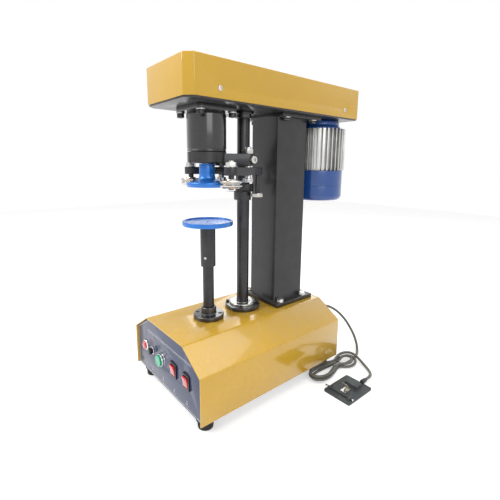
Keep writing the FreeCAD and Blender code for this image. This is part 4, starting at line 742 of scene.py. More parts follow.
def ring_tree():
    """Repeats one rib round an upright axis at a centre."""
    tree = bpy.data.node_groups.new("Ring of Ribs", "GeometryNodeTree")
    face = tree.interface
    face.new_socket("Geometry", in_out="INPUT", socket_type="NodeSocketGeometry")
    face.new_socket("Count", in_out="INPUT", socket_type="NodeSocketInt")
    face.new_socket("Centre", in_out="INPUT", socket_type="NodeSocketVector")
    face.new_socket("Finish", in_out="INPUT", socket_type="NodeSocketMaterial")
    face.new_socket("Geometry", in_out="OUTPUT", socket_type="NodeSocketGeometry")
    nodes, links = tree.nodes, tree.links
    given, out = nodes.new("NodeGroupInput"), nodes.new("NodeGroupOutput")
    points = nodes.new("GeometryNodePoints")
    index = nodes.new("GeometryNodeInputIndex")
    share = nodes.new("ShaderNodeMath")
    share.operation = "DIVIDE"
    angle = nodes.new("ShaderNodeMath")
    angle.operation = "MULTIPLY"
    angle.inputs[1].default_value = math.tau
    spun = nodes.new("FunctionNodeAxisAngleToRotation")
    spun.inputs["Axis"].default_value = (0, 0, 1)
    placed = nodes.new("GeometryNodeInstanceOnPoints")
    real = nodes.new("GeometryNodeRealizeInstances")
    coat = nodes.new("GeometryNodeSetMaterial")
    links.new(given.outputs["Count"], points.inputs["Count"])
    links.new(given.outputs["Centre"], points.inputs["Position"])
    links.new(index.outputs[0], share.inputs[0])
    links.new(given.outputs["Count"], share.inputs[1])
    links.new(share.outputs[0], angle.inputs[0])
    links.new(angle.outputs[0], spun.inputs["Angle"])
    links.new(points.outputs[0], placed.inputs["Points"])
    links.new(given.outputs["Geometry"], placed.inputs["Instance"])
    links.new(spun.outputs["Rotation"], placed.inputs["Rotation"])
    links.new(placed.outputs["Instances"], real.inputs["Geometry"])
    links.new(real.outputs["Geometry"], coat.inputs["Geometry"])
    links.new(given.outputs["Finish"], coat.inputs["Material"])
    links.new(coat.outputs["Geometry"], out.inputs["Geometry"])
    return tree


TREES = {}


def with_tree(item, name, **values):
    """Runs a node tree on an object and keeps its plain result."""
    makers = {"Placed Fasteners": placing_tree, "Ring of Ribs": ring_tree}
    if name not in TREES:
        TREES[name] = makers[name]()
    tree = TREES[name]
    modifier = item.modifiers.new(name, "NODES")
    modifier.node_group = tree
    for socket in tree.interface.items_tree:
        if socket.in_out == "INPUT" and socket.name in values:
            modifier[socket.identifier] = values[socket.name]
    return settled(item)


def fasteners(name, sample, spots, material, body="frame", stands_for=()):
    """Equal fasteners at (place, heading, twist) spots in millimetres, as one piece."""
    sample = scratch_object(sample, "sample")
    sample.data.shade_smooth()
    sample.data.set_sharp_from_angle(angle=math.radians(35))
    mesh = bpy.data.meshes.new(name)
    mesh.from_pydata([Vector(place) * MM for place, heading, twist in spots], [], [])
    mesh.attributes.new("heading", "FLOAT_VECTOR", "POINT").data.foreach_set(
        "vector", [value for place, heading, twist in spots for value in heading])
    mesh.attributes.new("twist", "FLOAT", "POINT").data.foreach_set(
        "value", [math.radians(twist) for place, heading, twist in spots])
    item = bpy.data.objects.new(name, mesh)
    bpy.context.scene.collection.objects.link(item)
    with_tree(item, "Placed Fasteners", Fastener=sample, Finish=material)
    spent = sample.data
    bpy.data.objects.remove(sample)
    bpy.data.meshes.remove(spent)
    item.data.name = name
    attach(item, body)
    if stands_for:
        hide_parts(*stands_for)
    return item


UP, DOWN = (0, 0, 1), (0, 0, -1)


def softly(shape, width=0.0003, angle=30):
    """The shape with its sharp edges broken."""
    edges = [edge for edge in shape.edges if edge.is_manifold and edge.calc_face_angle(0) > math.radians(angle)]
    bmesh.ops.bevel(shape, geom=edges, offset=width, segments=2, profile=0.5, affect="EDGES", clamp_overlap=True)
    return shape


def hexagon(across_corners, low, high):
    """A hexagon prism whose ends are turned to a chamfer."""
    outline = [(across_corners * math.cos(math.radians(60 * k)), across_corners * math.sin(math.radians(60 * k)))
               for k in range(6)]
    flat = across_corners * 0.885
    turned = lathe([(0, low), (flat, low), (across_corners + 0.1, low + 0.12 * across_corners),
                    (across_corners + 0.1, high - 0.12 * across_corners), (flat, high), (0, high)], steps=48, soft=0)
    return combined(prism(outline, low, high), [turned], "INTERSECT")


def hex_head(radius, height):
    """Hexagon bolt head with a faintly domed top."""
    top = lathe([(0, height - 0.6), (radius * 0.78, height - 0.6), (radius * 0.74, height), (0, height + 0.25)],
                steps=32, soft=0)
    return softly(combined(hexagon(radius, 0, height), [top], "UNION"), 0.0002, 25)


def socket_head(radius, height):
    """Cap screw head with its hexagon socket."""
    head = lathe([(0, 0), (radius, 0), (radius, height - 0.7), (radius - 0.7, height), (0, height)], steps=40, soft=0.2)
    key = [(radius * 0.56 * math.cos(math.radians(60 * k)), radius * 0.56 * math.sin(math.radians(60 * k)))
           for k in range(6)]
    return softly(combined(head, [prism(key, height * 0.42, height + 1)], "DIFFERENCE"), 0.00015, 40)


def pan_head(radius, height):
    """Domed screw head with a cross recess."""
    dome = lathe([(0, -0.3), (radius, -0.3), (radius, height * 0.35), (radius * 0.8, height * 0.8),
                  (radius * 0.4, height), (0, height)], steps=32, soft=0.3)
    bar = radius * 0.16
    tools = [prism(rectangle(-radius * 0.6, radius * 0.6, -bar, bar), height * 0.45, height + 1),
             prism(rectangle(-bar, bar, -radius * 0.6, radius * 0.6), height * 0.45, height + 1)]
    return combined(dome, tools, "DIFFERENCE")


def washer(inner, outer, thick):
    return lathe([(inner, 0), (outer, 0), (outer, thick), (inner, thick)], steps=40, soft=0.25)


def hex_nut(corner, low, high, thread):
    """Hexagon nut with the rounded end of its thread standing out."""
    end = lathe([(0, low - 0.5), (thread, low - 0.5), (thread, high + 2.2), (thread - 1, high + 3.2), (0, high + 3.2)],
                steps=32, soft=0.2)
    cone = lathe([(0, high - 0.8), (thread + 0.2, high - 0.8), (thread + 1.2, high + 0.4), (0, high + 0.4)],
                 steps=32, soft=0)
    nut = combined(hexagon(corner, low, high), [cone], "DIFFERENCE")
    return joined([softly(nut, 0.0002, 25), end])


def across(matrix_x):
    """Matrix that lays an outline of (y, z) along X from a given x in millimetres."""
    return Matrix.Translation((matrix_x * MM, 0, 0)) @ Matrix(((0, 0, 1, 0), (1, 0, 0, 0), (0, 1, 0, 0), (0, 0, 0, 1)))


# ------------------------------------------------------------------ pieces

class Piece:
    """Base of the operators that make pieces."""
    bl_options = {"REGISTER", "UNDO"}

    def execute(self, context):
        self.make()
        return {"FINISHED"}


class SEAMER_OT_lid(Piece, bpy.types.Operator):
    """Folded lid over the belt, with its screws"""
    bl_idname = "seamer.lid"
    bl_label = "Lid"

    def make(self):
        low, high = (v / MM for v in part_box("top_cover"))
        half, front, back = high.x, low.y, high.y
        bottom, top, wall, cut = low.z, high.z, 2.0, 15.8

        def plan(inset):
            side = half - inset
            nose = front + inset
            cheek = front + cut + 0.4 * inset
            mouth = half - cut - 0.4 * inset
            return [(-side, cheek), (-mouth, nose), (mouth, nose), (side, cheek), (side, back - inset),
                    (-side, back - inset)]

        outer = prism(rounded(plan(0), 3.0, 5), bottom, top)
        rim = [edge for edge in outer.edges if all(abs(v.co.z - top * MM) < 1e-6 for v in edge.verts)]
        bmesh.ops.bevel(outer, geom=rim, offset=0.0024, segments=5, profile=0.5, affect="EDGES", clamp_overlap=False)
        tools = [prism(rounded(plan(wall), 1.2, 3), bottom - 1, top - wall)]
        for y in (-120, 277):
            tools.append(lathe([(0, -100), (2.7, -100), (2.7, 100), (0, 100)], steps=24, soft=0,
                               along=Matrix.Translation((0, y * MM, 0.668)) @ Matrix.Rotation(math.pi / 2, 4, "Y")))
        piece("lid", combined(outer, tools, "DIFFERENCE"), finish("paint"), stands_for=["top_cover"], soft=0.0003)
        spots = [((side * 89.5, y, 668), (side, 0, 0), twist)
                 for side, y, twist in ((1, -120, 20), (1, 277, 65), (-1, -120, 40), (-1, 277, 10))]
        fasteners("lid_screw_heads", pan_head(5.0, 2.5), spots, finish("zinc"), stands_for=["lid_screws"])


class SEAMER_OT_channel(Piece, bpy.types.Operator):
    """Channel under the lid that carries the motor and both shafts"""
    bl_idname = "seamer.channel"
    bl_label = "Head channel"

    def make(self):
        piece("head_channel", cad_shape("head_plate"), finish("plate"), stands_for=["head_plate"], soft=0.0006)


class SEAMER_OT_base(Piece, bpy.types.Operator):
    """Folded base cover, its end plates and its feet"""
    bl_idname = "seamer.base"
    bl_label = "Base"

    def make(self):
        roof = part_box("base_cover")[1].z

        def fold(edge):
            middle = (edge.verts[0].co + edge.verts[1].co) / 2
            shoulder = abs(abs(middle.x) - 0.1505) < 4e-4 and abs(middle.z - 0.1286) < 4e-4
            ridge = abs(abs(middle.x) - 0.0847) < 4e-4 and abs(middle.z - roof) < 4e-4
            return edge.calc_length() > 0.3 and (shoulder or ridge)

        piece("base_shell", cad_shape("base_cover"), finish("paint"), stands_for=["base_cover"], soft=0.0003,
              bends=[(fold, sizes().fold, 5)])
        piece("control_panel", cad_shape("front_panel"), finish("panel"), stands_for=["front_panel"], soft=0.0003)
        piece("rear_plate", cad_shape("rear_panel"), finish("paint"), stands_for=["rear_panel"], soft=0.0003)
        foot = lathe([(5, 1.5), (13.5, 1.5), (15.4, 0), (16, 0.6), (17.9, 25.5), (17.4, 27.4), (0, 27.4),
                      (0, 8), (5, 7)], steps=56, soft=0.8)
        grooves = [lathe([(radius, height), (20, height - 0.7), (20, height + 0.7)], steps=56, soft=0)
                   for radius, height in ((15.6, 7), (16.2, 13), (16.7, 19))]
        foot = combined(foot, grooves, "DIFFERENCE")
        spots = [((x, y, 0), UP, 0) for x in (-121, 121) for y in (-184, 184)]
        fasteners("feet", foot, spots, finish("rubber"), stands_for=["rubber_feet"])


class SEAMER_OT_prints(Piece, bpy.types.Operator):
    """Printed border, stripe and numerals of the control panel"""
    bl_idname = "seamer.prints"
    bl_label = "Panel prints"

    def make(self):
        lay = Matrix.Translation((0, FACE_Y * MM, 0)) @ Matrix.Rotation(math.radians(90), 4, "X")

        def edge(inset):
            side, roof = 147.4 - inset, 83.3 - 0.4 * inset
            return [(-side, 29 + inset), (side, 29 + inset), (side, 127.7 - 0.4 * inset), (roof, 167.1 - inset),
                    (-roof, 167.1 - inset), (-side, 127.7 - 0.4 * inset)]

        outer, inner = edge(3.2), edge(4.4)
        strips = []
        for index in range(6):
            after = (index + 1) % 6
            strips.append(prism([outer[index], outer[after], inner[after], inner[index]], 0.0, 0.12, lay))
        for z, tall in ((137.2, 0.9), (133.6, 0.45)):
            strips.append(prism(rectangle(-92, 110, z - tall / 2, z + tall / 2), 0.0, 0.12, lay))
        for x in (-104, -71, -16.4, 36.5, 90):
            strips.append(prism(rectangle(x - 7, x + 7, 39.2, 39.8), 0.0, 0.12, lay))
        lines = joined(strips)
        bmesh.ops.remove_doubles(lines, verts=lines.verts, dist=1e-8)
        piece("panel_lines", lines, finish("ink"), slot="bright_steel", soft=0)
        for number, x in enumerate((-104, -71, -16.4, 36.5, 90), start=1):
            letters = bpy.data.curves.new("numeral", "FONT")
            letters.body = str(number)
            letters.size = 0.0105
            letters.extrude = 0.00006
            letters.align_x = "CENTER"
            item = bpy.data.objects.new("numeral", letters)
            bpy.context.scene.collection.objects.link(item)
            shape = bmesh.new()
            shape.from_mesh(bpy.data.meshes.new_from_object(item))
            bpy.data.objects.remove(item)
            shape.transform(Matrix.Translation((x * MM, FACE_Y * MM - 0.00006, 0.0415))
                            @ Matrix.Rotation(math.radians(90), 4, "X"))
            piece(f"panel_numeral_{number}", shape, finish("ink"), slot="bright_steel", soft=0)


class SEAMER_OT_controls(Piece, bpy.types.Operator):
    """Lamp, fuse, start button and rockers"""
    bl_idname = "seamer.controls"
    bl_label = "Controls"

    def make(self):
        piece("lamp_ring", lathe([(10.0, -18), (10.6, -18), (10.6, 0), (13, 0), (13, 1.6), (12.2, 3.0), (10.4, 3.6),
                                  (10.0, 3.0)], along=facing(LAMP_X), steps=64, soft=0.3),
              finish("chrome"), stands_for=["pilot_lamp"], slot="red_plastic", soft=0)
        lens = lathe([(0, -18), (9.8, -18), (9.8, 4.4), (8.8, 6.2), (6.5, 7.4), (3.2, 7.9), (0, 8)],
                     along=facing(LAMP_X), steps=64, soft=0.5)
        piece("lamp_lens", lens, finish("lens"), slot="red_plastic", soft=0)
        piece("fuse_ring", lathe([(4.8, -22), (7.2, -22), (7.2, 0), (9, 0), (9, 1.4), (8.2, 2), (4.8, 2)],
                                 along=facing(FUSE_X), steps=64, soft=0.25),
              finish("chrome"), slot="black_plastic", soft=0)
        core = lathe([(0, -14), (4.5, -14), (4.5, 2.5), (7.0, 2.5), (7.0, 10.6), (6.0, 12), (2.4, 12), (2.2, 11.4),
                      (0, 11.4)], steps=64, soft=0.3)
        rib = scratch_object(lathe([(0, 3.0), (0.42, 3.0), (0.42, 10.0), (0, 10.4)], at=(7.0, 0), steps=8, soft=0))
        knurl = repeated(rib, 28, (0, 0, 0), finish("black"))
        cap = joined([core, knurl])
        cap.transform(facing(FUSE_X))
        piece("fuse_cap_knurled", cap, finish("black"), body_of("fuse_cap"), ["fuse_cap"], soft=0)
        barrel = lathe([(5.2, -24), (10.7, -24), (10.7, 0), (15, 0), (15, 1.2), (14.6, 1.8), (14.6, 6.8), (14.2, 8),
                        (13.3, 8), (13.1, 7.2), (13.1, 3.0), (5.2, -0.2)], along=facing(BUTTON_X), steps=80, soft=0.3)
        piece("button_barrel", barrel, finish("chrome"), slot="black_plastic", soft=0)
        button = lathe([(0, -30), (5, -30), (5, 4), (12.8, 7), (12.8, 12.0), (12.0, 13), (11.2, 12.9), (8, 12.5),
                        (0, 12.4)], along=facing(BUTTON_X), steps=80, soft=0.4)
        piece("start_button_cap", button, finish("green"), body_of("start_button"), ["start_button"], soft=0)
        frames = []
        for name, x in ROCKERS:
            place = facing(x)
            rim = prism(rectangle(-13, 13, -16.5, 16.5, 1.8), 0.0, 3.0, place)
            shell = prism(rectangle(-11.1, 11.1, -14.1, 14.1, 0.8), -22, 0.5, place)
            well = prism(rectangle(-9.3, 9.3, -12.8, 12.8, 0.6), -18, 5, place)
            frames.append(combined(combined(rim, [shell], "UNION"), [well], "DIFFERENCE"))
        piece("rocker_frames", joined(frames), finish("black"), stands_for=["panel_bezels"], soft=0.0005)
        for name, x in ROCKERS:
            side = rounded([(FACE_Y + 6, -4.5), (FACE_Y - 1.5, -10.9), (FACE_Y - 3.5, -11.3), (FACE_Y - 4.6, 0),
                            (FACE_Y - 7.5, 10.9), (FACE_Y - 4, 11.3), (FACE_Y + 6, 4.5)], 0.8, 4)
            side = [(y, z + CONTROL_Z) for y, z in side]
            body = prism(side, -8.9, 8.9, across(x))
            piece(name + "_cap", body, finish("red"), body_of(name), [name], soft=0.0005, segments=3)
            marks = []
            tilt = math.atan2(2.9, 10.9)
            up = Matrix.Translation((x * MM, (FACE_Y - 6.15) * MM, (CONTROL_Z + 5.6) * MM)) \
                @ Matrix.Rotation(math.radians(90) - tilt, 4, "X")
            marks.append(prism(rectangle(-0.45, 0.45, -2.6, 2.6), -0.2, 0.09, up))
            down = Matrix.Translation((x * MM, (FACE_Y - 4.06) * MM, (CONTROL_Z - 5.8) * MM)) \
                @ Matrix.Rotation(math.radians(90) + math.atan2(1.1, 11.3) * -1, 4, "X")
            marks.append(lathe([(1.7, -0.2), (2.5, -0.2), (2.5, 0.09), (1.7, 0.09)], steps=40, soft=0, along=down))
            piece(name + "_marks", joined(marks), finish("ink"), body_of(name), slot="red_plastic", soft=0)


class SEAMER_OT_column(Piece, bpy.types.Operator):
    """Column with its two flanges and their bolts"""
    bl_idname = "seamer.column"
    bl_label = "Column"

    def make(self):
        piece("column_tube", cad_shape("column"), finish("column"), stands_for=["column"], soft=0.0007)
        foot = [((x, y, 180.3), UP) for x in (-58.5, 58.5) for y in (88, 170)]
        head = [((x, y, 638.0), DOWN) for x in (-58.5, 58.5) for y in (95, 188)]
        rings = [(place, heading, 0) for place, heading in foot + head]
        fasteners("column_washers", washer(4.6, 8.6 * 1.05, 1.8), rings, finish("zinc"))
        heads = [((x, y, z + heading[2] * 1.8), heading, 17 + 23 * index)
                 for index, ((x, y, z), heading) in enumerate(foot + head)]
        fasteners("foot_bolt_heads", hex_head(8.6, 6.4), heads[:4], finish("zinc"))
        fasteners("head_bolt_heads", hex_head(8.6, 6.4), heads[4:], finish("screw"), stands_for=["frame_bolts"])


class SEAMER_OT_housing(Piece, bpy.types.Operator):
    """Spindle housing with its flange bolts"""
    bl_idname = "seamer.housing"
    bl_label = "Spindle housing"

    def make(self):
        barrel = lathe([(0, 529), (33, 529), (33, 554), (43, 554), (43, 556.5), (42.4, 557), (42.4, 558.2), (43, 558.7),
                        (43, 630), (41, 636.5), (0, 636.5)], at=(0, SPIN_Y), soft=0.8)
        plate = prism([(x, y + SPIN_Y) for x, y in rectangle(-50, 50, -50, 50, 12, 8)], 636, 646)
        bore = lathe([(0, 528), (15.06, 528), (15.06, 551), (19, 553), (19, 622), (15.06, 624), (15.06, 647), (0, 647)],
                     at=(0, SPIN_Y), soft=0, steps=64)
        holes = [lathe([(0, 634), (5.2, 634), (5.2, 648), (0, 648)], at=(x, SPIN_Y + y), soft=0, steps=32)
                 for x in (-40, 40) for y in (-40, 40)]
        housing = combined(combined(barrel, [plate], "UNION"), [bore] + holes, "DIFFERENCE")
        piece("spindle_barrel", housing, finish("housing"), stands_for=["spindle_housing"], soft=0.0006)
        under = [((x, SPIN_Y + y, 636), DOWN, 0) for x in (-40, 40) for y in (-40, 40)]
        fasteners("housing_washers", washer(5.2, 9.6, 2.0), under, finish("zinc"))
        heads = [((x, y, 634), DOWN, 12 + 31 * index) for index, ((x, y, z), heading, twist) in enumerate(under)]
        fasteners("housing_cap_screws", socket_head(8, 9), heads, finish("screw"))
        clamp = [((side * 64.3, -17.7, 537), (side, 0, 0), 15) for side in (-1, 1)]
        fasteners("clamp_cap_screws", socket_head(8, 9), clamp, finish("zinc"))
        roof = []
        for index, (by_cam, by_rod) in enumerate(zip(four_round(CAM_RING, CAM_Y), four_round(ROD_RING, SPIN_Y))):
            roof.append(((*by_cam, ROOF_Z), UP, 9 * index))
            roof.append(((*by_rod, 175.7), UP, 14 * index))
        fasteners("flange_cap_screws", socket_head(4.4, 4.5), roof, finish("screw"), stands_for=["socket_screws"])


class SEAMER_OT_head_tools(Piece, bpy.types.Operator):
    """Spindle, chuck, arms, rollers and their cam followers"""
    bl_idname = "seamer.head_tools"
    bl_label = "Seaming head"

    def make(self):
        at = (0, SPIN_Y)
        piece("spindle_ground", lathe([(0, 486.6), (11, 486.6), (11, 528.5), (15, 528.5), (15, 670), (12, 670),
                                       (12, 698), (11, 699), (0, 699)], at=at, soft=0.3), finish("spindle"),
              body_of("spindle"), ["spindle"], soft=0)
        chuck = lathe([(11.03, 486.6), (0, 486.6), (0, 480.6), (36, 480.6), (38.5, 479.2), (39.5, 477.6),
                       (44.3, 477.6), (46, 483.4), (46, 486.4), (44.2, 488.6), (34, 489.2), (27.5, 490.4),
                       (22.5, 492.6), (19.2, 496), (17.6, 501), (17.5, 506), (17.5, 524.6), (17.0, 525.2),
                       (17.0, 526.2), (17.5, 526.8), (17.5, 528), (11.03, 528)], at=at, soft=0.6)
        piece("chuck_turned", chuck, finish("chuck"), body_of("seaming_chuck"), ["seaming_chuck"], soft=0)
        ring = lathe([(0, 530), (42.6, 530), (42.6, 553), (0, 553)], at=at, soft=1.0)
        ears = [prism(link((side * 22, SPIN_Y + 24), 15, beside(PIVOT, side), 14), 524, 550) for side in (-1, 1)]
        tools = [lathe([(0, 520), (33.03, 520), (33.03, 560), (0, 560)], at=at, soft=0),
                 prism(rectangle(-1.5, 1.5, SPIN_Y - 44, SPIN_Y - 30), 520, 560)]
        for side in (-1, 1):
            tools.append(lathe([(0, 520), (7.03, 520), (7.03, 560), (0, 560)], at=beside(PIVOT, side), soft=0,
                               steps=48))
            seat = Matrix.Translation((side * 0.0643, -0.0177, 0.537))
            seat = seat @ Matrix.Rotation(side * math.pi / 2, 4, "Y")
            tools.append(lathe([(0, 0), (8.6, 0), (8.6, 12), (0, 12)], along=seat, soft=0, steps=40))
        piece("arm_clamp", combined(combined(ring, ears, "UNION"), tools, "DIFFERENCE"), finish("arm"),
              stands_for=["arm_bracket"], soft=0.0007)
        for side, name in ((1, "right"), (-1, "left")):
            self.pin(side, name)
        self.arm(1, "first", "right", 461.0)
        self.arm(-1, "second", "left", 479.5)

    def pin(self, side, name):
        """Pivot pin with its nut and collar."""
        x, y = beside(PIVOT, side)
        nut = hexagon(12.7, 550, 561)
        cone = lathe([(0, 560.4), (7.4, 560.4), (8.2, 561.4), (0, 561.4)], steps=40, soft=0)
        nut = softly(combined(nut, [cone], "DIFFERENCE"), 0.0003, 25)
        nut.transform(Matrix.Translation((x * MM, y * MM, 0)) @ Matrix.Rotation(math.radians(14 * side), 4, "Z"))
        shank = lathe([(0, 488), (12, 488), (12, 497), (7, 497), (7, 563.6), (5.8, 565), (0, 565)], at=(x, y), soft=0.6)
        whole = joined([nut, shank])
        piece(f"pivot_pin_{name}", whole, finish("pin"), stands_for=["pivot_pins"] if side > 0 else (),
              slot="bright_steel", soft=0)

    def arm(self, side, order, name, follower_top):
        """Rocking arm with its axles, roller and follower."""
        nose, pivot, tail = (beside(place, side) for place in (NOSE, PIVOT, TAIL))
        body = body_of(f"{order}_arm")
        flat = combined(prism(link(nose, 15, pivot, 16), 504, 521), [prism(link(pivot, 16, tail, 11), 504, 521)],
                        "UNION")
        bore = lathe([(0, 500), (7.06, 500), (7.06, 530), (0, 530)], at=pivot, soft=0, steps=48)
        piece(f"{order}_arm_link", combined(flat, [bore], "DIFFERENCE"), finish("arm"), body, [f"{order}_arm"],
              soft=0.0011, segments=3)
        axles = [lathe([(0, 475), (5.2, 475), (6, 476), (6, 504.5), (0, 504.5)], at=nose, soft=0.3, steps=48),
                 lathe([(0, follower_top - 11.4), (4.2, follower_top - 11.4), (5, follower_top - 10.6), (5, 504.5),
                        (0, 504.5)], at=tail, soft=0.3, steps=48)]
        piece(f"{order}_arm_axles", joined(axles), finish("shaft"), body, slot="black_steel", soft=0)
        lock = hex_nut(12.1, 521, 531, 6)
        lock.transform(Matrix.Translation((nose[0] * MM, nose[1] * MM, 0)) @ Matrix.Rotation(math.radians(9), 4, "Z"))
        washers = lathe([(6, 521), (11, 521), (11, 522), (6, 522)], at=nose, soft=0.2, steps=40)
        piece(f"{order}_arm_nut", joined([lock, washers]), finish("zinc"), body, slot="bright_steel", soft=0)
        low, groove = 478, 4.5 if side > 0 else 2.5
        roller = lathe([(6.06, low), (9.5, low), (10, low + 0.8), (13, low + 0.8), (13.5, low), (19.6, low),
                        (21.5, low + 2.6), (23.4, low + 3.7), (24, low + 5.6), (24, low + 6.4),
                        (24 - groove * 0.6, low + 6.9), (24 - groove, low + 7.8), (24 - groove, low + 9.4),
                        (24 - groove * 0.6, low + 10.3), (24, low + 10.9), (24, low + 14.6), (22.5, low + 16.4),
                        (18.5, low + 16.5), (18, low + 15.7), (13, low + 15.7), (12.5, low + 16.5), (12, low + 16.9),
                        (11, low + 19), (6.06, low + 19)], at=nose, soft=0.35)
        piece(f"{order}_roller_turned", roller, finish(f"roller_{name}"), body_of(f"{order}_roller"),
              [f"{order}_roller"], soft=0)
        low = follower_top - 9.4
        bearing = lathe([(5.06, low), (7.6, low), (7.9, low + 0.6), (10.6, low + 0.6), (10.9, low), (13.2, low),
                         (14.2, low + 1), (14.2, low + 8.4), (13.2, low + 9.4), (10.9, low + 9.4), (10.6, low + 8.8),
                         (7.9, low + 8.8), (7.6, low + 9.4), (5.06, low + 9.4)], at=tail, soft=0.25, steps=72)
        piece(f"{order}_follower_bearing", bearing, finish(f"follow_{name}"), body_of(f"{order}_follower"),
              [f"{order}_follower"], soft=0)


class SEAMER_OT_camshaft(Piece, bpy.types.Operator):
    """Camshaft with its cams, bearings and roof flange"""
    bl_idname = "seamer.camshaft"
    bl_label = "Camshaft"

    def make(self):
        at = (0, CAM_Y)
        body = body_of("camshaft")
        piece("camshaft_turned", lathe([(0, 31.6), (9, 31.6), (9, 39.4), (15, 39.4), (15, 436), (14.6, 436.5),
                                        (14.6, 438), (15, 438.5), (15, 655), (14, 656), (0, 656)], at=at, soft=0.4),
              finish("shaft"), body, ["camshaft"], soft=0)
        throw = 5.7
        heading = math.radians(50)
        lower = prism(link((0, CAM_Y), 19, (-throw, CAM_Y), 18.99, 64), 443, 464.2)
        lobe = (throw * math.cos(heading), CAM_Y + throw * math.sin(heading))
        upper = prism(link((0, CAM_Y), 19, lobe, 18.99, 64), 464, 482)
        bore = lathe([(0, 440), (15.03, 440), (15.03, 490), (0, 490)], at=at, soft=0)
        piece("arm_cams_ground", combined(combined(lower, [upper], "UNION"), [bore], "DIFFERENCE"), finish("arm"),
              body, ["arm_cams"], soft=0.0008, segments=3)
        flange = lathe([(15.06, 156.3), (22, 156.3), (22, 170.3), (44, 170.3), (44, 178.6), (42.4, 180.3),
                        (33.4, 180.3), (33.0, 179.6), (32.6, 180.3), (15.06, 180.3)], at=at, soft=0.6)
        holes = [lathe([(0, 160), (2.7, 160), (2.7, 190), (0, 190)], steps=24, soft=0, at=spot)
                 for spot in four_round(CAM_RING, CAM_Y)]
        piece("camshaft_ring", combined(flange, holes, "DIFFERENCE"), finish("housing"),
              stands_for=["camshaft_flange"], soft=0)
        piece("bearing_disc", lathe([(15.4, 180.3), (32.5, 180.3), (32.5, 184.2), (31.4, 185.3), (22, 185.3),
                                     (21.4, 184.7), (18.2, 184.7), (17.6, 185.3), (15.4, 185.3)], at=at, soft=0.3),
              finish("cap"), stands_for=["bearing_cap"], soft=0)
        piece("head_bearing", lathe([(15.06, 632), (17.5, 632), (19, 633.2), (19, 640.5), (19.8, 641), (24, 641),
                                     (24, 646), (15.06, 646)], at=at, soft=0.4), finish("housing"),
              stands_for=["top_bearing"], soft=0)


class SEAMER_OT_lifter(Piece, bpy.types.Operator):
    """Can plate, height sleeve, rod and roof bush"""
    bl_idname = "seamer.lifter"
    bl_label = "Can lifter"

    def make(self):
        at = (0, SPIN_Y)
        plate = lathe([(0, 375.4), (8, 375.4), (8, 390.8), (54, 390.8), (56.8, 391.6), (57.5, 393.6), (57.5, 400.6),
                       (56.6, 401.5), (55.0, 401.5), (54.0, 400.7), (54.0, 399.0), (53.0, 398), (41, 398),
                       (40.6, 397.6), (39.8, 397.6), (39.4, 398), (21, 398), (20.6, 397.6), (19.8, 397.6),
                       (19.4, 398), (4, 398), (3.0, 396.4), (0, 395.4)], at=at, soft=0.5, steps=128)
        piece("can_plate_turned", plate, finish("chuck"), body_of("can_plate"), ["can_plate"], soft=0)
        sleeve = lathe([(13.3, 295.5), (16.7, 295.5), (17.5, 296.3), (17.5, 389.6), (16.7, 390.4), (8.06, 390.4),
                        (8.06, 374.4), (0, 374.4), (0, 368.4), (13.3, 368.4)], at=at, soft=0.4)
        aim = Matrix.Translation((0, SPIN_Y * MM, 0.317)) @ Matrix.Rotation(math.radians(-55), 4, "Z") \
            @ Matrix.Rotation(math.pi / 2, 4, "Y")
        hole = lathe([(0, 12), (3.1, 12), (3.1, 19), (0, 19)], along=aim, soft=0, steps=32)
        piece("sleeve_turned", combined(sleeve, [hole], "DIFFERENCE"), finish("lift"), body_of("height_sleeve"),
              ["height_sleeve"], soft=0)
        grub = socket_head(3.0, 3.4)
        grub.transform(aim @ Matrix.Translation((0, 0, 0.0149)))
        piece("sleeve_grub_screw", grub, finish("zinc"), body_of("height_sleeve"), slot="bright_steel", soft=0)
        piece("lifter_rod_turned", lathe([(0, 83.9), (6, 83.9), (6, 96.9), (13, 98.9), (13, 328.5), (11.5, 330),
                                          (0, 330)], at=at, soft=0.4), finish("lift"), body_of("lifter_rod"),
              ["lifter_rod"], soft=0)
        bush = lathe([(13.06, 140.3), (18, 140.3), (18, 170.3), (36, 170.3), (36, 178.8), (34.5, 180.3), (20.5, 180.3),
                      (18.6, 181), (18, 183), (18, 195.5), (16.5, 197), (15, 197), (14.4, 196.2), (13.06, 196.2)],
                     at=at, soft=0.6)
        tools = []
        for spot in four_round(ROD_RING, SPIN_Y):
            tools.append(lathe([(0, 175.7), (5, 175.7), (5, 190), (0, 190)], at=spot, soft=0, steps=40))
            tools.append(lathe([(0, 160), (2.7, 160), (2.7, 176), (0, 176)], at=spot, soft=0, steps=24))
        piece("lifter_bush", combined(bush, tools, "DIFFERENCE"), finish("housing"), stands_for=["lifter_flange"],
              soft=0.0002)


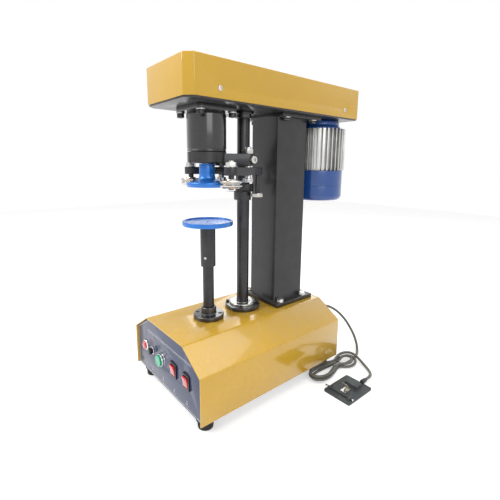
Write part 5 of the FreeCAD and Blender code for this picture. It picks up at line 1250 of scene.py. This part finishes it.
class SEAMER_OT_motor(Piece, bpy.types.Operator):
    """Ribbed motor with its end bell and fan cover"""
    bl_idname = "seamer.motor"
    bl_label = "Motor"

    def make(self):
        at = (0, MOTOR_Y)
        core = lathe([(13.5, 513), (64, 513), (64, 624.5), (13.5, 624.5)], at=at, soft=0.4, steps=144)
        profile = rounded([(62.8, -2.4), (66, -2.1), (75.4, -1.5), (75.4, 1.5), (66, 2.1), (62.8, 2.4)], 0.9, 3)
        rib = scratch_object(softly(prism(profile, 513.4, 624.1), 0.0005, 50), "rib")
        ribs = repeated(rib, sizes().ribs, (0, MOTOR_Y * MM, 0), finish("ribs"))
        piece("motor_ribs", joined([core, ribs]), finish("ribs"), stands_for=["motor_body"], soft=0)
        bell = lathe([(10, 624.5), (63, 624.5), (63, 627), (61.5, 629), (58.5, 631.5), (57, 634.5), (57, 642),
                      (54, 646), (10, 646)], at=at, soft=0.9, steps=128)
        piece("end_bell", bell, finish("motor"), stands_for=["motor_end_bell"], soft=0)
        cover = lathe([(0, 430.8), (59.5, 430.8), (65, 432.2), (69.2, 436), (71.3, 441.8), (71.5, 446), (71.5, 470.6),
                       (70.6, 471.0), (70.6, 472.0), (71.5, 472.4), (71.5, 512.4), (71.0, 513), (69.5, 513),
                       (69.5, 443), (67.6, 437.6), (64, 434.0), (58.5, 432.8), (0, 432.8)], at=at, soft=0.6, steps=144)
        slot = scratch_object(prism(link((18, 0), 2, (51.5, 0), 3, 10), 428, 436), "slot")
        slots = repeated(slot, 12, (0, MOTOR_Y * MM, 0), finish("motor"))
        piece("fan_cover_pressed", combined(cover, [slots], "DIFFERENCE"), finish("motor"), stands_for=["fan_cover"],
              soft=0.0003)


class SEAMER_OT_pedal(Piece, bpy.types.Operator):
    """Foot switch with its tray and treadle"""
    bl_idname = "seamer.pedal"
    bl_label = "Foot switch"

    def make(self):
        piece("pedal_tray", cad_shape("pedal_base"), finish("tray"), stands_for=["pedal_base"], soft=0.0005)
        outline = rounded([(95, 5.6), (95, 20), (180, 36), (180, 18), (111, 5.6)], 3.0, 5)
        shell = prism(outline, -35, 35, across(PEDAL_X))
        rims = [edge for edge in shell.edges if edge.calc_face_angle(0) > 1.2]
        bmesh.ops.bevel(shell, geom=rims, offset=0.0024, segments=4, profile=0.5, affect="EDGES", clamp_overlap=False)
        hollow = prism([(99, 0), (99, 17.8), (176, 32), (176, 0)], -31.5, 31.5, across(PEDAL_X))
        axle = prism([(110 + 2.2 * math.cos(math.tau * k / 24), 8 + 2.2 * math.sin(math.tau * k / 24))
                      for k in range(24)], -40, 40, across(PEDAL_X))
        piece("treadle_shell", combined(shell, [hollow, axle], "DIFFERENCE"), finish("pedal"), body_of("treadle"),
              ["treadle"], soft=0.0004)
        pins = [lathe([(0, -1.5), (2.0, -1.5), (2.0, 0), (2.6, 0), (2.6, 0.35), (1.8, 0.8), (0, 0.9)], steps=32,
                      soft=0.15, along=Matrix.Translation((PEDAL_X * MM + side * 0.0342, 0.110, 0.008))
                      @ Matrix.Rotation(side * math.pi / 2, 4, "Y")) for side in (-1, 1)]
        piece("pedal_pin_ends", joined(pins), finish("chrome"), slot="bright_steel", soft=0)


LEAD_DROP = [(0.070, 0.2245, 0.134), (0.070, 0.248, 0.134), (0.080, 0.272, 0.126), (0.093, 0.295, 0.108),
             (0.106, 0.314, 0.082), (0.114, 0.327, 0.058), (0.1217, 0.3364, 0.036), (0.134, 0.334, 0.0154),
             (0.148, 0.319, 0.0036), (0.160, 0.298, 0.0036), (0.167, 0.278, 0.0040)]
LEAD_TURNS = [
    (0.169, 0.262, 0.0036), (0.170, 0.240, 0.0036), (0.166, 0.221, 0.0040), (0.158, 0.203, 0.0048),
    (0.168, 0.168, 0.0038), (0.175, 0.140, 0.0036), (0.172, 0.117, 0.0036), (0.161, 0.109, 0.0036),
    (0.149, 0.116, 0.0036), (0.145, 0.137, 0.0036), (0.147, 0.170, 0.0038), (0.151, 0.203, 0.0048),
    (0.146, 0.222, 0.0055), (0.145, 0.243, 0.0085), (0.153, 0.259, 0.0110), (0.168, 0.265, 0.0114),
    (0.183, 0.258, 0.0090), (0.189, 0.240, 0.0055), (0.183, 0.220, 0.0042), (0.165, 0.203, 0.0048),
    (0.176, 0.170, 0.0046), (0.183, 0.140, 0.0065), (0.180, 0.113, 0.0086), (0.161, 0.1015, 0.0094),
    (0.143, 0.111, 0.0104), (0.141, 0.137, 0.0106), (0.148, 0.170, 0.0110), (0.158, 0.203, 0.0118),
    (0.155, 0.222, 0.0120), (0.151, 0.241, 0.0136), (0.158, 0.252, 0.0145), (0.170, 0.254, 0.0145),
    (0.180, 0.244, 0.0130), (0.182, 0.230, 0.0120), (0.176, 0.215, 0.0120), (0.165, 0.203, 0.0118),
    (0.175, 0.170, 0.0130), (0.182, 0.140, 0.0148), (0.179, 0.113, 0.0162), (0.161, 0.102, 0.0168),
    (0.144, 0.112, 0.0176), (0.1405, 0.139, 0.0178), (0.141, 0.170, 0.0155), (0.151, 0.203, 0.0118),
    (0.1435, 0.222, 0.0125), (0.141, 0.243, 0.0155), (0.149, 0.262, 0.0175), (0.165, 0.271, 0.0170)]
LEAD_OUT = [(0.184, 0.270, 0.0100), (0.203, 0.264, 0.0045), (0.224, 0.252, 0.0042), (0.240, 0.237, 0.0055),
            (0.247, 0.219, 0.0090), (0.247, 0.202, 0.0090)]


class SEAMER_OT_lead(Piece, bpy.types.Operator):
    """Lead of the foot switch, with its tie and strain reliefs"""
    bl_idname = "seamer.lead"
    bl_label = "Lead"

    def make(self):
        curve = bpy.data.curves.new("lead", "CURVE")
        curve.dimensions = "3D"
        curve.bevel_depth = sizes().cord / 2
        curve.bevel_resolution = 6
        curve.resolution_u = 8
        curve.use_fill_caps = True
        points = LEAD_DROP + LEAD_TURNS + LEAD_OUT
        spline = curve.splines.new("NURBS")
        spline.points.add(len(points) - 1)
        for point, place in zip(spline.points, points):
            point.co = (*place, 1.0)
        spline.order_u = 3
        spline.use_endpoint_u = True
        lead = bpy.data.objects.new("lead", curve)
        bpy.context.scene.collection.objects.link(lead)
        lead.data.materials.append(finish("cord"))
        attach(lead, "frame")
        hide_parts("cord_drop", "cord_hank", "cord_lead")
        tie = self.tie()
        rear = Matrix.Translation((0.070, 0.2085, 0.134)) @ Matrix.Rotation(math.radians(-90), 4, "X")
        profile = [(3.45, -9), (6.1, -9), (6.1, 0), (9.4, 0), (9.4, 4.2), (8.8, 5)]
        for ring in range(4):
            start = 5.6 + 2.5 * ring
            wide = 8.0 - 0.95 * ring
            profile += [(wide - 1.2, start), (wide, start + 0.6), (wide - 0.2, start + 1.7), (wide - 1.3, start + 2.2)]
        profile += [(4.4, 16), (3.45, 16)]
        gland = lathe(profile, along=rear, steps=56, soft=0.25)
        front = Matrix.Translation((0.247, 0.192, 0.009)) @ Matrix.Rotation(math.radians(-90), 4, "X")
        nose = lathe([(3.45, 0), (5.4, 0), (5.3, 2), (4.7, 2.5), (5.1, 3.2), (5.0, 4.6), (4.5, 5.1), (4.8, 5.8),
                      (4.6, 7.2), (4.3, 7.7), (4.3, 9.6), (4.0, 10), (3.45, 10)], along=front, steps=48, soft=0.2)
        piece("strain_reliefs", joined([gland, nose]), finish("black"), stands_for=["cord_glands"], soft=0)

    def tie(self):
        """Twisted wire tie round the waist of the bundle."""
        ring = [Vector((x * MM, 0.203, z * MM)) for x, z in
                rounded([(146.9, 0.75), (169.1, 0.75), (169.1, 15.9), (146.9, 15.9)], 4.2, 8)]
        shape = bmesh.new()
        rows = []
        for index, here in enumerate(ring):
            tangent = (ring[(index + 1) % len(ring)] - ring[index - 1]).normalized()
            outward = Vector((tangent.z, 0, -tangent.x))
            slant = (here.z - 0.008) * 0.35
            section = ((-1.7, -0.35), (1.7, -0.35), (1.7, 0.05), (0.5, 0.35), (-0.5, 0.35), (-1.7, 0.05))
            rows.append([shape.verts.new(here + outward * (v * MM) + Vector((0, u * MM + slant, 0)))
                         for u, v in section])
        for first, second in zip(rows, rows[1:] + rows[:1]):
            for k in range(6):
                after = (k + 1) % 6
                shape.faces.new((first[k], first[after], second[after], second[k]))
        bmesh.ops.recalc_face_normals(shape, faces=shape.faces)
        tails = []
        for turn in (0, math.pi):
            rings = []
            tail = bmesh.new()
            for step in range(22):
                share = step / 21
                angle = turn + share * 9
                spread = 0.9 + 1.6 * max(0, share - 0.6)
                centre = Vector((0.160 + 0.004 * share, 0.2058 + 0.004 * share, 0.0166 + 0.012 * share))
                centre += Vector((math.cos(angle), math.sin(angle), 0)) * spread * MM
                rings.append([tail.verts.new(centre + Vector((math.cos(a), math.sin(a), 0)) * 0.0007)
                              for a in (0, 1.256, 2.513, 3.77, 5.027)])
            for first, second in zip(rings, rings[1:]):
                for k in range(5):
                    tail.faces.new((first[k], first[(k + 1) % 5], second[(k + 1) % 5], second[k]))
            tail.faces.new(rings[0][::-1])
            tail.faces.new(rings[-1])
            bmesh.ops.recalc_face_normals(tail, faces=tail.faces)
            tails.append(tail)
        return piece("lead_tie", joined([shape] + tails), finish("tie"), slot="cord_grey", soft=0)


class SEAMER_OT_inner(Piece, bpy.types.Operator):
    """Finishes of the parts inside the base and the head"""
    bl_idname = "seamer.inner"
    bl_label = "Inner parts"

    def make(self):
        chosen = {
            "base_plate": "plain", "support_frame": "plain", "mains_inlet": "black", "spindle_pulley": "pulley",
            "motor_pulley": "pulley", "drive_belt": "belt", "lift_cam": "plain", "camshaft_gear": "plain",
            "drive_pinion": "steel", "lift_lever": "plain", "lever_bracket": "plain", "motor_shaft": "steel",
            "motor_fan": "black", "gearmotor": "ribs", "treadle_spring": "zinc",
        }
        for node, item in frame["nodes"].items():
            if item.hide_render:
                continue
            if node not in chosen:
                raise RuntimeError(f"{node} has neither a piece nor a finish")
            item.data.materials.clear()
            item.data.materials.append(finish(chosen[node]))


# ------------------------------------------------------------------ stage

class SEAMER_OT_stage(Piece, bpy.types.Operator):
    """Floor, soft lights and camera"""
    bl_idname = "seamer.stage"
    bl_label = "Stage"

    def make(self):
        scene = bpy.context.scene
        scene.view_settings.view_transform = "Standard"
        floor = scratch_object(prism([(-4000, -4000), (4000, -4000), (4000, 4000), (-4000, 4000)], -20, 0), "floor")
        floor.data.materials.append(self.floor_finish())
        self.world(scene)
        for name, place, aim, wide, power, tone in (
                ("key", (-0.9, -1.9, 2.1), (0, 0, 0.35), 1.5, 42, (1.0, 0.985, 0.96)),
                ("side", (2.2, -0.7, 1.3), (0, 0, 0.35), 1.3, 14, (0.96, 0.98, 1.0)),
                ("top", (0.3, 0.2, 2.6), (0, 0, 0.2), 1.8, 22, (1.0, 1.0, 1.0)),
                ("back", (-1.6, 1.8, 1.6), (0, 0, 0.4), 1.4, 12, (1.0, 1.0, 1.0))):
            lamp = bpy.data.lights.new(name, "AREA")
            lamp.size = wide
            lamp.energy = power
            lamp.color = tone
            item = bpy.data.objects.new(name, lamp)
            item.location = place
            item.rotation_euler = (Vector(aim) - Vector(place)).to_track_quat("-Z", "Y").to_euler()
            scene.collection.objects.link(item)
        lens = bpy.data.cameras.new("view")
        lens.sensor_width = 36
        lens.lens = 25.116
        lens.shift_x = 0.01214
        lens.shift_y = -0.04006
        lens.clip_start = 0.01
        camera = bpy.data.objects.new("view", lens)
        yaw, pitch, roll = math.radians(50.6), math.radians(-10.39), math.radians(0.39)
        forward = Vector((-math.sin(yaw) * math.cos(pitch), math.cos(yaw) * math.cos(pitch), math.sin(pitch)))
        turn = forward.to_track_quat("-Z", "Y").to_matrix().to_4x4() @ Matrix.Rotation(roll, 4, "Z")
        camera.matrix_world = Matrix.Translation((0.6568, -0.5262, 0.5236)) @ turn
        scene.collection.objects.link(camera)
        scene.camera = camera

    def floor_finish(self):
        """White where the camera sees it lit, darker in the object's shadow."""
        material, tree, surface = shader("floor", Roughness=0.6)
        path = add(tree, "LightPath")
        grain = noise(tree, add(tree, "TexCoord").outputs["Object"], 60.0, 3.0)
        tree.links.new(blended(tree, (0.86, 0.86, 0.86), (0.90, 0.90, 0.90), grain), surface.inputs["Base Color"])
        surface.inputs["Emission Color"].default_value = (1, 1, 1, 1)
        seen = maths(tree, "ADD", path.outputs["Is Camera Ray"], path.outputs["Is Glossy Ray"], True)
        tree.links.new(maths(tree, "MULTIPLY", seen, 0.42), surface.inputs["Emission Strength"])
        return material

    def world(self, scene):
        """White for the camera and in reflections, a soft pale light for everything else."""
        world = bpy.data.worlds.new("studio")
        world.use_nodes = True
        tree = world.node_tree
        background = tree.nodes["Background"]
        background.inputs["Color"].default_value = (1, 1, 1, 1)
        path = add(tree, "LightPath")
        seen = maths(tree, "ADD", path.outputs["Is Camera Ray"], path.outputs["Is Glossy Ray"], True)
        seen = maths(tree, "ADD", seen, path.outputs["Is Transmission Ray"], True)
        tree.links.new(mapped(tree, seen, 0.0, 1.0, 0.45, 1.0), background.inputs["Strength"])
        scene.world = world


OPERATORS = (SEAMER_OT_lead, SEAMER_OT_lid, SEAMER_OT_channel, SEAMER_OT_base, SEAMER_OT_prints, SEAMER_OT_controls,
             SEAMER_OT_column, SEAMER_OT_housing, SEAMER_OT_head_tools, SEAMER_OT_camshaft, SEAMER_OT_lifter,
             SEAMER_OT_motor, SEAMER_OT_pedal, SEAMER_OT_inner, SEAMER_OT_stage)


class SEAMER_PT_panel(bpy.types.Panel):
    """Sizes, colours and pieces of the can seamer"""
    bl_label = "Can Seamer"
    bl_idname = "SEAMER_PT_panel"
    bl_space_type = "VIEW_3D"
    bl_region_type = "UI"
    bl_category = "Can Seamer"

    def draw(self, context):
        for settings in (context.scene.seamer_sizes, context.scene.seamer_colours):
            for name in settings.bl_rna.properties.keys():
                if name not in ("rna_type", "name"):
                    self.layout.prop(settings, name)
        for operator in OPERATORS:
            self.layout.operator(operator.bl_idname)


CLASSES = (SeamerColours, SeamerSizes) + OPERATORS + (SEAMER_PT_panel,)


def register():
    for item in CLASSES:
        bpy.utils.register_class(item)
    bpy.types.Scene.seamer_sizes = PointerProperty(type=SeamerSizes)
    bpy.types.Scene.seamer_colours = PointerProperty(type=SeamerColours)


def unregister():
    del bpy.types.Scene.seamer_colours
    del bpy.types.Scene.seamer_sizes
    for item in reversed(CLASSES):
        bpy.utils.unregister_class(item)


def main():
    """Registers the panel, then builds every finish and every piece in order."""
    register()
    make_finishes()
    for operator in OPERATORS:
        getattr(bpy.ops.seamer, operator.bl_idname.split(".")[1])()


if __name__ == "__main__":
    main()
